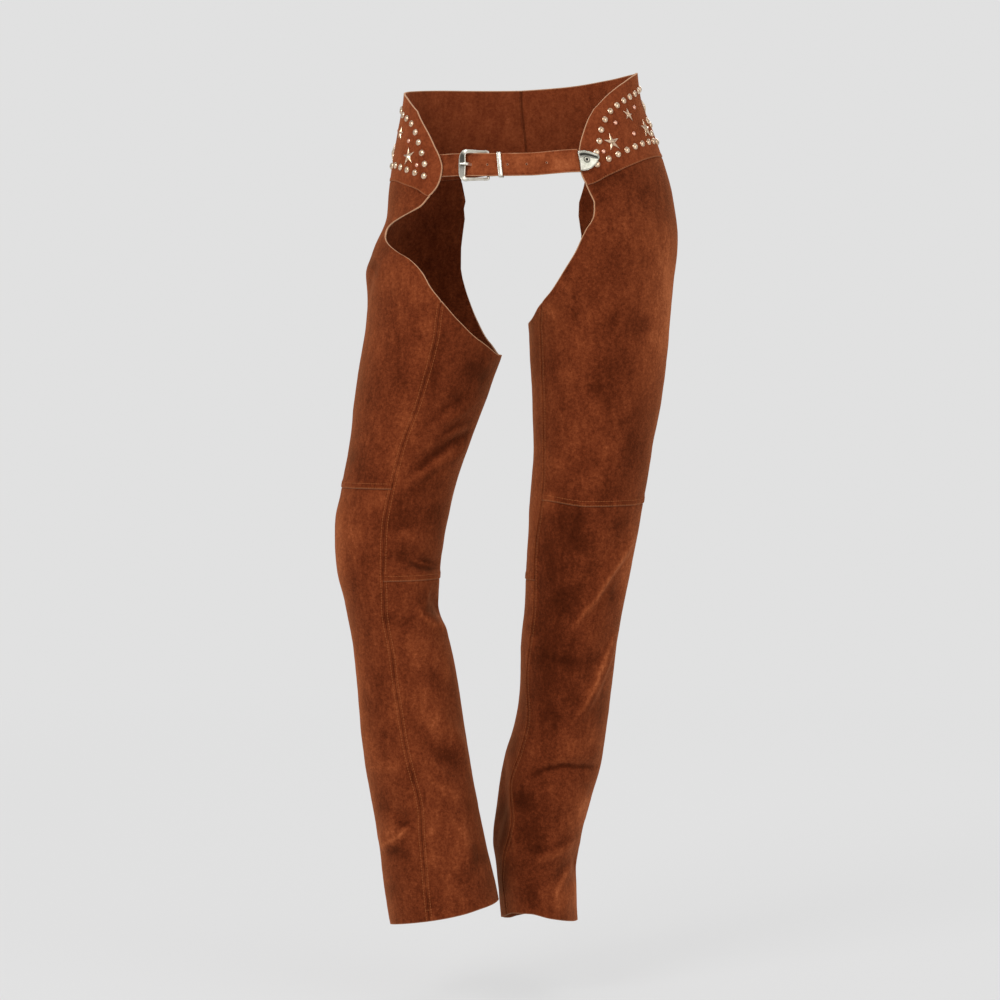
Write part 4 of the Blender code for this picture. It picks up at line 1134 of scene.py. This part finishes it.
def stud_spots(half, border):
    """Round studs a pitch apart: up the front, along the top, and along the seam."""
    cut = half.cut
    along_top = list(range(int(border[-1].angle) + 6, LAST_ANGLE + 1, 5))
    tops = [float(cut.yoke_top.at(angle)) - TOP_MARGIN for angle in along_top]
    seam = np.linspace(border[0].angle + 6.2, LAST_ANGLE, 80)
    lines = (
        ([spot.angle for spot in border] + along_top, [spot.height for spot in border] + tops),
        (seam, half.row_height(seam, cut.top) + SEAM_MARGIN),
    )
    found = []
    for line in lines:
        fine = np.linspace(0, len(line[0]) - 1, 600)
        angle, height = (np.interp(fine, np.arange(len(values)), values) for values in line)
        lengths = travelled(half.bare(angle, height))
        stops = np.linspace(0, lengths[-1], int(round(lengths[-1] / STUD_PITCH)) + 1)
        found += map(Spot, np.interp(stops, lengths, angle), np.interp(stops, lengths, height))
    return found


def dome_shape(radius, height):
    """A domed nail head with a narrow turned-in rim."""
    shape = bmesh.new()
    bmesh.ops.create_uvsphere(shape, u_segments=18, v_segments=12, radius=radius)
    low = (0, 0, -radius * 0.28)
    whole = list(shape.verts) + list(shape.edges) + list(shape.faces)
    bmesh.ops.bisect_plane(shape, geom=whole, plane_co=low, plane_no=(0, 0, -1), clear_outer=True)
    close_holes(shape)
    bmesh.ops.scale(shape, verts=shape.verts, vec=(1, 1, height / radius))
    right_side_out(shape)
    return shape


def round_studs(half, name, spots, radius, height, made_of):
    place = np.array(spots, float).T
    sides = half.point(*place, STUD_OUT), half.spread(*place)[0], half.normal(*place)
    finish_piece(lay_copies(name, dome_shape(radius, height), *sides, made_of, sharp=60))


def star_shape(radius):
    """A five-pointed stud, its arms ridged and its edges rounded over."""
    shape = bmesh.new()
    bmesh.ops.create_circle(shape, cap_ends=True, segments=10, radius=radius)
    ring = sorted(shape.verts, key=lambda vert: math.atan2(vert.co.y, vert.co.x))
    for k, vert in enumerate(ring):
        turn = math.radians(90 + 36 * k)
        reach = radius * (STAR_WAIST if k % 2 else 1)
        vert.co = (reach * math.cos(turn), reach * math.sin(turn), 0)
    lifted = bmesh.ops.extrude_face_region(shape, geom=list(shape.faces))
    top = [item for item in lifted["geom"] if isinstance(item, bmesh.types.BMVert)]
    bmesh.ops.translate(shape, verts=top, vec=(0, 0, STAR_RIM))
    crown = [item for item in lifted["geom"] if isinstance(item, bmesh.types.BMFace)]
    peaked = bmesh.ops.poke(shape, faces=crown)
    peaked["verts"][0].co.z = STAR_PEAK
    right_side_out(shape)
    upper = [edge for edge in shape.edges if edge.verts[0].co.z + edge.verts[1].co.z > 0]
    edges = [edge for edge in upper if edge.calc_face_angle(0) > 0.2]
    bmesh.ops.bevel(
        shape, geom=edges, offset=0.00022, offset_type="OFFSET", segments=2, profile=0.5, affect="EDGES",
        material=-1,
    )
    bmesh.ops.subdivide_edges(shape, edges=shape.edges, cuts=1, use_grid_fill=True)
    return shape


def star_studs(half, number, star):
    """A star pressed onto the yoke, so that it follows the curve."""
    shape = star_shape(star.radius)
    degree = np.linalg.norm(half.spread(star.angle, star.height)[0])
    lean = math.radians(star.turn)
    across, up, out = np.array([vert.co[:] for vert in shape.verts]).T
    angle = star.angle + (across * math.cos(lean) - up * math.sin(lean)) / degree
    height = star.height + (across * math.sin(lean) + up * math.cos(lean))
    for vert, point in zip(shape.verts, half.point(angle, height, out + STUD_OUT)):
        vert.co = point
    right_side_out(shape)
    node = "%s_star_%d" % (half.name, number)
    finish_piece(add_piece(node + "_stud", shape, [stud_metal()], sharp=25), [node])


def yoke_studs(half, stars, border, loose, small, dome, small_dome):
    """The stars and the round studs of one half, of the given radii."""
    for number, star in enumerate(stars, 1):
        star_studs(half, number, star)
    spots = stud_spots(half, border) + list(loose)
    round_studs(half, half.name + "_border_studs", spots, dome, dome * 0.62, stud_metal())
    between = [
        Spot((star.angle + following.angle) / 2, (star.height + following.height) / 2 + BETWEEN_LIFT)
        for star, following in zip(stars, stars[1:])
        if star.angle > FIRST_BETWEEN
    ]
    spots = list(small) + between
    round_studs(half, half.name + "_small_studs", spots, small_dome, small_dome * 0.65, small_stud_metal())


# --- belt ------------------------------------------------------------------------------------------
# Belt places are an angle across the front (negative towards the wearer's right), a height over the
# belt's middle line, and how far they stand out of the yoke's outer surface.

HALF_WIDTH = 0.0137
Stop = namedtuple("Stop", "angle out half_width middle", defaults=(HALF_WIDTH, 0.0))


def stop_rows(*rows):
    """Stops from rows of angle and then, in tenths of a millimetre, out, half width and middle."""
    return [Stop(angle, *(value / (10 * MM) for value in rest)) for angle, *rest in rows]


BELT_HEIGHT = -0.006
BELT_LINE = Curve(  # the height of the belt's middle line over each place across, lowest in front
    (-0.110, -0.0088), (-0.085, -0.0080), (-0.060, -0.0084), (-0.0365, -0.0090), (-0.020, -0.0091),
    (0.010, -0.0087), (0.039, -0.0064), (0.060, -0.0047), (0.080, -0.0038), (0.130, -0.0024),
)
DEGREE = 0.00288  # metres along the belt for one degree
BAR = Stop(-17.5, -0.0066)
BAR_RADIUS, BAR_PLAY = 0.0015, 0.0003
BAR_ARM, POST_ARM = 0.0162, 0.0172  # from the buckle's middle to each arm, at its hidden and its front bar
BAR_DROP, POST_DROP = 0.0003, 0.0016  # the buckle hangs a little low on its strap, most at its front bar
POST_ANGLE = -28.1
KEEPER_ANGLE = -12.2

BILLET_PATH = stop_rows(
    (-58, -50), (-49, -50), (-41, -50), (-37, -48), (-34, -44), (-31, -38), (-28.5, -34), (-26.5, -29),
    (-23, -21), (-20, -12), (-17.5, -7), (-15, -6), (-11.5, -6), (-7, -6), (-1, -6), (4, -5), (9, 0),
    (14, 10), (18, 18), (20.1, 19), (21.2, 19, 112, -9), (22.8, 19, 114, -5), (24.6, 19, 102, 0),
    (26.4, 19, 79, 10), (28, 19, 48, 24), (29, 19, 22, 36),
)
HOLES = (-24.8, -17.4, -9.0, -1.2, 7.0)
HOLE_RADIUS, HOLE_POINT, HOLE_DEPTH = 0.0018, 0.00025, 0.005  # a punch's radii at both ends, and its length
SLOT, SLOT_SIZE = Stop(-18.6, -0.0066), (0.012, 0.014, 0.0058)
STRAP_INSET = 0.0006  # how much narrower the buckle strap is on each side
STRAP_PATH = stop_rows(
    (42, -46), (36, -46), (30, -46), (24, -46), (18, -43), (12, -40), (4, -37), (-4, -37), (-12, -37),
    (-16, -37),
)
STRAP_RETURN = stop_rows(
    (-16.4, -93), (-15.3, -80), (-14.4, -68), (-13.4, -62), (-8, -62), (-4.5, -62),
)
PRONG_PATH = stop_rows(
    (-19.2, -42), (-20.8, -47), (-22.4, -50), (-23.6, -43), (-24.4, -20), (-25, 12), (-25.5, 42), (-26, 60),
    (-27, 64), (-28.8, 61),
)


def belt_point(angle, up, out):
    x = WAIST.bare(angle, BELT_HEIGHT)[..., 0]
    return WAIST.point(angle, BELT_LINE.at(x) + up, out)


def round_the_bar(radius, start, end, steps):
    """Stops round the buckle's bar, from one angle to another in the belt's plan. 90 degrees faces out."""
    turns = np.radians(np.linspace(start, end, steps + 1))
    return list(map(Stop, BAR.angle + radius * np.cos(turns) / DEGREE, BAR.out + radius * np.sin(turns)))


def path_curve(stops):
    """The stops as a curve over the length travelled, and that length."""
    places = travelled(np.array([(stop.angle * DEGREE, stop.out) for stop in stops]))
    return Curve(*((place, *stop) for place, stop in zip(places, stops))), places[-1]


def strap_grid(stops, half_width, pitch):
    """A strap's middle surface as rows across and columns along."""
    curve, length = path_curve(stops)
    along = np.linspace(0, length, int(length / pitch))
    angle, out, width, middle = np.moveaxis(curve.at(along), -1, 0)
    shares = np.linspace(-1, 1, 23)[:, None]
    up = middle + shares * width * (half_width / HALF_WIDTH)
    points = belt_point(angle + 0 * up, up, out + 0 * up)
    edge = (1 - np.abs(shares)) * half_width + 0 * up
    return points, edge, length


def strap_object(name, points, edge, thickness, made_of):
    brush = 0.26 * ripple(points, 0.013) + 0.26 * ripple(points, 0.006) - 0.30 * bell(edge - 0.0020, 0.0012)
    across = points[..., 0]
    brush = brush + 0.22 * smooth_step(0.0, 0.070, across) - 0.35 * smooth_step(-0.04, -0.08, across)
    raw = 0.8 * smooth_step(0.0010, 0.0002, edge) * (0.75 + 0.5 * ripple(points, 0.01))
    shape = mapped_grid(points, brush=brush, groove=0 * brush, raw_edge=raw)
    face_out(shape, lambda place: Vector((0, -1, 0)))
    obj = add_piece(name, shape, [made_of, strap_edge_material()])
    add_solidify(obj, thickness, 0)
    return obj


def punched_holes(angles, path):
    """The shapes of round holes that are worn wide at the front."""
    holes = bmesh.new()
    for angle in angles:
        out = float(path.at(angle)[0])
        middle, ahead = (Vector(belt_point(angle, 0.0, out + more)) for more in (0.0, 0.001))
        turn = (ahead - middle).to_track_quat("Z", "Y").to_matrix().to_4x4()
        bmesh.ops.create_cone(
            holes, cap_ends=True, segments=20, radius1=HOLE_POINT, radius2=HOLE_RADIUS, depth=HOLE_DEPTH,
            matrix=Matrix.Translation(middle) @ turn,
        )
    return holes


def belt_billet(thickness, pitch, made_of):
    points, edge, length = strap_grid(BILLET_PATH, HALF_WIDTH, pitch)
    obj = strap_object("belt_long_end", points, edge, thickness, made_of)
    path = Curve(*((stop.angle, stop.out, 0) for stop in BILLET_PATH))
    cut_away(obj, punched_holes(HOLES, path), lining=1, shortest=0.000001)
    add_bevel(obj, 0.0005)
    finish_piece(obj, ["belt_billet"])


def belt_buckle_strap(thickness, pitch, made_of):
    fold = round_the_bar(BAR_RADIUS + BAR_PLAY + thickness / 2, 90, 270, 8)
    points, edge, length = strap_grid(STRAP_PATH + fold + STRAP_RETURN, HALF_WIDTH - STRAP_INSET, pitch)
    obj = strap_object("belt_short_strap", points, edge, thickness, made_of)
    slot = bmesh.new()
    middle = Vector(belt_point(SLOT.angle, 0.0, SLOT.out))
    bmesh.ops.create_cube(slot, size=1, matrix=Matrix.Translation(middle) @ Matrix.Diagonal((*SLOT_SIZE, 1)))
    cut_away(obj, slot, lining=0, shortest=0.0002)
    add_bevel(obj, 0.0004)
    finish_piece(obj, ["belt_buckle_strap"])


# --- buckle set ------------------------------------------------------------------------------------

Round = namedtuple("Round", "angle up out half_width half_depth")


def metal_piece(name, shape, node, sharp=50):
    finish_piece(add_piece(name, shape, [buckle_metal()], sharp), [node])


def full_turn(step):
    """Angles all round, in radians. The step is in degrees."""
    return np.radians(np.arange(0, 360, step))


def squared(wave, power):
    """A sine or cosine drawn out towards a rectangle's corners."""
    return np.sign(wave) * np.abs(wave) ** power


def buckle_rounds():
    """Sections of the frame's bar: up the hidden bar, along the upper arm, down the broad bar, and back.

    The rows below give each section's height as a share of the arm's.
    """
    arm = (
        Round(BAR.angle, 0.76, BAR.out, 0.0015, BAR_RADIUS),
        Round(BAR.angle - 0.3, 1, BAR.out + 0.0006, 0.0018, 0.0015),
        Round(-20.5, 1, -0.0036, 0.0018, 0.0014),
        Round(-23.5, 1, -0.0004, 0.0020, 0.0014),
        Round(-25.3, 1, 0.0018, 0.0022, 0.0015),
        Round(-26.7, 0.97, 0.0027, 0.0028, 0.0016),
        Round(-27.7, 0.82, 0.0030, 0.0036, 0.0016),
        Round(POST_ANGLE, 0.55, 0.0030, 0.0043, 0.0017),
        Round(POST_ANGLE, 0.2, 0.0030, 0.0046, 0.0017),
    )
    upper, lower = [], []
    for bar in arm:
        share = (bar.angle - BAR.angle) / (POST_ANGLE - BAR.angle)
        reach = bar.up * (BAR_ARM + (POST_ARM - BAR_ARM) * share)
        drop = BAR_DROP + (POST_DROP - BAR_DROP) * share
        upper.append(bar._replace(up=reach - drop))
        lower.insert(0, bar._replace(up=-reach - drop))
    return upper + lower


def smooth_ring(rounds, steps):
    """A closed list of sections, rounded off between its corners."""
    before, start, end, after = (np.roll(rounds, shift, axis=0)[:, None] for shift in (1, 0, -1, -2))
    t = np.linspace(0, 1, steps, endpoint=False)[:, None]
    ring = 0.5 * (2 * start + (end - before) * t + (2 * before - 5 * start + 4 * end - after) * t**2
                  + (3 * start - before - 3 * end + after) * t**3)
    return ring.reshape(-1, ring.shape[-1])


def ring_direction(points):
    return unit(np.roll(points, -1, axis=0) - np.roll(points, 1, axis=0))


def buckle_frame():
    angle, up, out, half_width, half_depth = smooth_ring(buckle_rounds(), 8).T[..., None]
    ahead = ring_direction(np.concatenate([angle * DEGREE, up], axis=1))
    turn = full_turn(12)
    sine, cosine = np.sin(turn), np.cos(turn)
    across = half_width * squared(cosine, 0.75)
    # the broad bar's face is sunk between two lips, with fine ribs along it; painted shade darkens the sunk
    # face, most towards its top
    broad = smooth_step(0.0026, 0.0040, half_width) * smooth_step(0.2, 0.6, sine)
    inside = smooth_step(0.80, 0.60, np.abs(cosine))
    ribs = 0.5 + 0.5 * np.cos(cosine * 16)
    hollow = broad * inside * (0.0008 - 0.0002 * ribs)
    points = belt_point(
        angle + ahead[:, 1:] * across / DEGREE,
        up - ahead[:, :1] * across,
        out + half_depth * squared(sine, 0.75) - hollow,
    )
    groove = broad * inside * (0.62 + 0.38 * smooth_step(-0.012, 0.006, up)) * (1 - 0.12 * ribs)
    metal_piece("buckle_ring", tube(points, groove=groove), "buckle_frame")


def buckle_prong():
    thickness, half_width = 0.0016, 0.0019
    fold = round_the_bar(BAR_RADIUS + BAR_PLAY + thickness / 2, 200, 450, 12)
    curve, length = path_curve(fold + PRONG_PATH)
    along = np.linspace(0, length, 90)[:, None]
    angle, out = curve.at(along)[..., :2].T.swapaxes(1, 2)
    ahead = unit(np.gradient(np.concatenate([angle * DEGREE, out], axis=1), axis=0))
    taper = 1 - 0.35 * smooth_step(length * 0.75, length, along)
    turn = full_turn(30)
    depth = thickness / 2 * squared(np.sin(turn), 0.7)
    across = half_width * taper * squared(np.cos(turn), 0.7)
    points = belt_point(angle - ahead[:, 1:] * depth / DEGREE, across, out + ahead[:, :1] * depth)
    metal_piece("buckle_tongue", tube(points, caps=True), "buckle_prong")


def belt_keeper():
    """A flat metal loop, crowned and lipped, leaning a little."""
    half_height, deep, near, wall, lean, half_width = 0.0147, -0.0086, 0.0018, 0.0012, 0.3, 0.0026
    corner, step = 0.0016, 0.0015
    high, outline = half_height - corner, []
    for up, out, start in (
        (high, near - corner, 0), (-high, near - corner, 90),
        (-high, deep + corner, 180), (high, deep + corner, 270),
    ):
        for turn in np.radians(np.linspace(start, start + 90, 6)):
            outline.append((up + corner * math.cos(turn), out + corner * math.sin(turn)))
    dense = []
    for start, end in zip(outline, outline[1:] + outline[:1]):
        count = max(int(math.dist(start, end) / step), 1)
        dense += list(np.linspace(start, end, count, endpoint=False))
    path = np.array(dense)
    outward = ring_direction(path)[:, ::-1] * (1, -1)
    outward = outward * np.sign(np.sum(outward * (path - path.mean(axis=0)), axis=1, keepdims=True))
    sine, cosine = np.sin(full_turn(20)), np.cos(full_turn(20))
    thick = wall / 2 * squared(sine, 0.6)
    thick = thick + 0.00035 * smooth_step(0.3, 0.9, sine) * (1 - 1.4 * bell(cosine, 0.55))
    up, out = path[:, :1] + outward[:, :1] * thick, path[:, 1:] + outward[:, 1:] * thick
    angle = KEEPER_ANGLE - lean * up / half_height + half_width * squared(cosine, 0.6) / DEGREE
    metal_piece("belt_metal_loop", tube(belt_point(angle, up, out)), "belt_keeper")


TIP_OUTLINE = stop_rows(
    (20.3, 44, 117, -10), (21.5, 44, 124, -8), (22.9, 44, 124, -5), (24.7, 44, 111, 0), (26.6, 44, 86, 11),
    (28.4, 44, 53, 27), (29.6, 44, 25, 41),
)
PLATE_WALL, PLATE_RISE, PLATE_LIP, PLATE_CROWN, PLATE_ROUND = 0.0013, 0.0007, 0.0005, 0.0009, 0.0009
CRESCENT_IN, CRESCENT_DEPTH = 0.0048, 0.0011
RIVET = Stop(23.7, 0.0059, 0, 0.0006)
RIVET_RADIUS, RIVET_ROLL, RIVET_RISE = 0.0023, 0.0007, 0.0009


def belt_tip():
    """The pointed end plate: crowned, lipped round its edge, with a crescent sunk under its upper border."""
    angle = np.linspace(TIP_OUTLINE[0].angle, TIP_OUTLINE[-1].angle, 46)
    level, half_width, middle = np.moveaxis(Curve(*TIP_OUTLINE).at(angle), -1, 0)
    shares = np.linspace(-1, 1, 41)[:, None]
    up = middle + shares * half_width
    angle = angle + 0 * up
    length = (angle[0, -1] - angle[0, 0]) * DEGREE
    from_start = (angle - angle[0, 0]) * DEGREE
    edge = np.minimum(np.minimum((1 - np.abs(shares)) * half_width, from_start), length - from_start)
    lip = PLATE_LIP * smooth_step(0.0018, 0.0008, edge)
    crown = PLATE_CROWN * (1 - shares**2)
    broad = 0.0024 - 0.0010 * from_start / length
    crescent = bell((1 - shares) * half_width - CRESCENT_IN, broad) * smooth_step(0.001, 0.003, from_start)
    crescent = crescent * smooth_step(0.0005, 0.003, length - from_start)
    round_off = PLATE_ROUND * smooth_step(0.0007, 0.0, edge)
    points = belt_point(angle, up, level + PLATE_RISE + lip + crown - CRESCENT_DEPTH * crescent - round_off)
    # Painted shade in the sunk crescent, in the rivet's middle and in a ring round the rivet.
    from_rivet = np.hypot((angle - RIVET.angle) * DEGREE, up - RIVET.middle)
    dark = np.maximum(np.clip(crescent * 1.8 - 0.45, 0, 1), smooth_step(0.0026, 0.0016, from_rivet))
    dark = np.maximum(dark, 0.7 * bell(from_rivet - 0.0034, 0.0008))
    shape = mapped_grid(points, groove=dark)
    face_out(shape, lambda place: Vector((0, -1, 0)))
    obj = add_piece("belt_end_plate", shape, [plate_metal()])
    add_solidify(obj, PLATE_WALL, -1, rim=0)
    finish_piece(obj, ["belt_tip"])


def belt_tip_rivet():
    """The rolled ring in the end plate."""
    turn, lap = full_turn(15)[:, None], full_turn(30)
    reach = RIVET_RADIUS + RIVET_ROLL * np.cos(lap)
    ring = belt_point(
        RIVET.angle + reach * np.cos(turn) / DEGREE,
        RIVET.middle + reach * np.sin(turn),
        RIVET.out + RIVET_RISE * np.sin(lap),
    )
    metal_piece("belt_end_rivet", tube(ring), "belt_tip_rivet", sharp=None)


# --- stage -----------------------------------------------------------------------------------------

PALE = 0.752  # the backdrop's brightness
FLOOR_HEIGHT = -1.045
LENS = 115.3
VIEW_PLACE, VIEW_TARGET = (-0.025, -4.0, -0.25), (-0.025, 0, -0.42)
FLOOR_TONE, FLOOR_GLOW = 0.20, 0.56  # near the chaps


def plain_backdrop():
    """The same pale tone wherever the camera looks, and soft, uneven room light for everything else."""
    world = bpy.data.worlds.new("studio")
    bpy.context.scene.world = world
    world.use_nodes = True
    add, join = node_tools(world.node_tree)
    place = add("ShaderNodeTexCoord").outputs["Generated"]
    sky = map_range(add, add("ShaderNodeSeparateXYZ", {0: place}).outputs[2], -0.6, 0.8, 0.22, 0.95)
    wave = {"Vector": place, "Scale": 0.55, "Distortion": 0.0}
    bands = add("ShaderNodeTexWave", wave, wave_type="BANDS", bands_direction="X").outputs["Fac"]
    room = math_node(add, "MULTIPLY", sky, map_range(add, bands, 0.0, 1.0, 0.25, 1.15))
    seen = add("ShaderNodeLightPath").outputs["Is Camera Ray"]
    tone = add("ShaderNodeMix", {0: seen, 2: room, 3: PALE}).outputs[0]
    join(world.node_tree.nodes["Background"], {"Color": tone})


def floor_surface(add):
    """Near the chaps the floor takes a soft shadow, and far off it is the backdrop."""
    away = add("ShaderNodeVectorMath", {0: object_place(add)}, operation="LENGTH").outputs["Value"]
    far = map_range(add, away, 0.7, 4.0, interpolation_type="SMOOTHSTEP")
    return {
        "Base Color": colour_mix(add, far, (FLOOR_TONE,) * 3, (0, 0, 0)),
        "Emission Color": colour_mix(add, far, (FLOOR_GLOW,) * 3, (PALE,) * 3),
        "Emission Strength": 1.0,
        "Roughness": 1.0,
        "Specular IOR Level": 0.0,
    }


def pale_floor():
    shape = bmesh.new()
    bmesh.ops.create_grid(shape, x_segments=1, y_segments=1, size=12)
    bmesh.ops.translate(shape, verts=shape.verts, vec=(0, 0, FLOOR_HEIGHT))
    add_piece("studio_floor", shape, [material("pale_floor", floor_surface)])


def aimed(name, data, place, target):
    """Puts a lamp or a camera in its place, looking at a target."""
    obj = bpy.data.objects.new(name, data)
    obj.location = place
    obj.rotation_euler = (Vector(target) - Vector(place)).to_track_quat("-Z", "Y").to_euler()
    bpy.context.scene.collection.objects.link(obj)
    return obj


def softbox(name, place, target, size, power):
    light = bpy.data.lights.new(name, "AREA")
    light.shape = "SQUARE"
    light.size = size
    light.energy = power
    aimed(name, light, place, target)


def camera():
    lens = bpy.data.cameras.new("view")
    lens.sensor_width = 36
    lens.lens = LENS
    bpy.context.scene.camera = aimed("view", lens, VIEW_PLACE, VIEW_TARGET)


# --- add-on ----------------------------------------------------------------------------------------


def size_setting(name, description, size, least, most):
    return bpy.props.FloatProperty(
        name=name, description=description, default=size, min=least, max=most, unit="LENGTH", precision=4
    )


class ChapsSettings(bpy.types.PropertyGroup):
    """The sizes that a maker would change."""

    suede: size_setting("Suede", "Thickness of the leg panels", 0.0020, 0.001, 0.003)
    yoke: size_setting("Yoke", "Thickness of the yoke", 0.0022, 0.001, 0.003)
    billet: size_setting("Belt", "Thickness of the belt's long end", 0.0028, 0.001, 0.004)
    short_strap: size_setting("Buckle strap", "Thickness of the strap at the buckle", 0.0022, 0.001, 0.003)
    pitch: size_setting("Mesh pitch", "Spacing of the suede's mesh", 0.0027, 0.002, 0.01)
    stitch: size_setting("Stitch", "Length of one stitch", 0.0027, 0.001, 0.006)
    stitch_pitch: size_setting("Stitch pitch", "From one stitch to the next", 0.0033, 0.001, 0.008)
    thread: size_setting("Thread", "Thickness of the thread", 0.0008, 0.0003, 0.002)
    dome: size_setting("Round stud", "Radius of the border studs", 0.0043, 0.002, 0.008)
    small_dome: size_setting("Small stud", "Radius of the small studs", 0.0028, 0.001, 0.006)


class CHAPS_OT_legs(bpy.types.Operator):
    """Cut the eight leg panels"""

    bl_idname = "chaps.legs"
    bl_label = "Leg panels"

    def execute(self, context):
        settings = context.scene.chaps
        for half in HALVES:
            leg_panels(half, settings.suede, settings.pitch, material("leg_suede", suede, LEG_TONES))
        return {"FINISHED"}


class CHAPS_OT_yoke(bpy.types.Operator):
    """Cut the two halves of the yoke"""

    bl_idname = "chaps.yoke"
    bl_label = "Yoke"

    def execute(self, context):
        settings = context.scene.chaps
        for half in HALVES:
            yoke_panel(half, settings.yoke, settings.pitch, material("yoke_suede", suede, YOKE_TONES))
        return {"FINISHED"}


class CHAPS_OT_topstitching(bpy.types.Operator):
    """Sew the seams"""

    bl_idname = "chaps.topstitching"
    bl_label = "Topstitching"

    def execute(self, context):
        settings = context.scene.chaps
        for half in HALVES:
            topstitching(half, settings.stitch, settings.stitch_pitch, settings.thread)
        return {"FINISHED"}


class CHAPS_OT_studs(bpy.types.Operator):
    """Set the stars and the round studs"""

    bl_idname = "chaps.studs"
    bl_label = "Studs"

    def execute(self, context):
        radii = context.scene.chaps.dome, context.scene.chaps.small_dome
        yoke_studs(LEFT, LEFT_STARS, LEFT_BORDER, LEFT_LOOSE, LEFT_SMALL, *radii)
        yoke_studs(RIGHT, RIGHT_STARS, RIGHT_BORDER, (), RIGHT_SMALL, *radii)
        return {"FINISHED"}


class CHAPS_OT_belt(bpy.types.Operator):
    """Make the belt's two straps"""

    bl_idname = "chaps.belt"
    bl_label = "Belt"

    def execute(self, context):
        settings = context.scene.chaps
        made_of = material("belt_strap_suede", suede, BELT_TONES)
        belt_billet(settings.billet, 0.0012, made_of)
        belt_buckle_strap(settings.short_strap, 0.0012, made_of)
        return {"FINISHED"}


class CHAPS_OT_buckle(bpy.types.Operator):
    """Make the buckle, its tongue, the loop and the end plate"""

    bl_idname = "chaps.buckle"
    bl_label = "Buckle set"

    def execute(self, context):
        buckle_frame()
        buckle_prong()
        belt_keeper()
        belt_tip()
        belt_tip_rivet()
        return {"FINISHED"}


class CHAPS_OT_stage(bpy.types.Operator):
    """Set the floor, the lights and the camera"""

    bl_idname = "chaps.stage"
    bl_label = "Stage"

    def execute(self, context):
        context.scene.view_settings.view_transform = "Standard"
        plain_backdrop()
        pale_floor()
        softbox("key", (-1.9, -2.7, 1.5), (0, 0, -0.35), 1.5, 64)
        softbox("fill", (2.4, -2.4, 0.5), (0, 0, -0.4), 2.0, 26)
        softbox("back", (0.6, 2.8, 1.4), (0, 0, -0.3), 1.6, 26)
        camera()
        return {"FINISHED"}


class CHAPS_PT_panel(bpy.types.Panel):
    """The chaps' sizes and steps"""

    bl_label = "Chaps"
    bl_idname = "CHAPS_PT_panel"
    bl_space_type = "VIEW_3D"
    bl_region_type = "UI"
    bl_category = "Chaps"

    def draw(self, context):
        settings = context.scene.chaps
        for name in settings.__annotations__:
            self.layout.prop(settings, name)
        for step in STEPS:
            self.layout.operator(step.bl_idname)


STEPS = (
    CHAPS_OT_legs,
    CHAPS_OT_yoke,
    CHAPS_OT_topstitching,
    CHAPS_OT_studs,
    CHAPS_OT_belt,
    CHAPS_OT_buckle,
    CHAPS_OT_stage,
)
CLASSES = (ChapsSettings, *STEPS, CHAPS_PT_panel)


def register():
    for cls in CLASSES:
        bpy.utils.register_class(cls)
    bpy.types.Scene.chaps = bpy.props.PointerProperty(type=ChapsSettings)


def unregister():
    del bpy.types.Scene.chaps
    for cls in reversed(CLASSES):
        bpy.utils.unregister_class(cls)


def main():
    register()
    bpy.ops.chaps.legs()
    bpy.ops.chaps.yoke()
    bpy.ops.chaps.topstitching()
    bpy.ops.chaps.studs()
    bpy.ops.chaps.belt()
    bpy.ops.chaps.buckle()
    bpy.ops.chaps.stage()


if __name__ == "__main__":
    main()
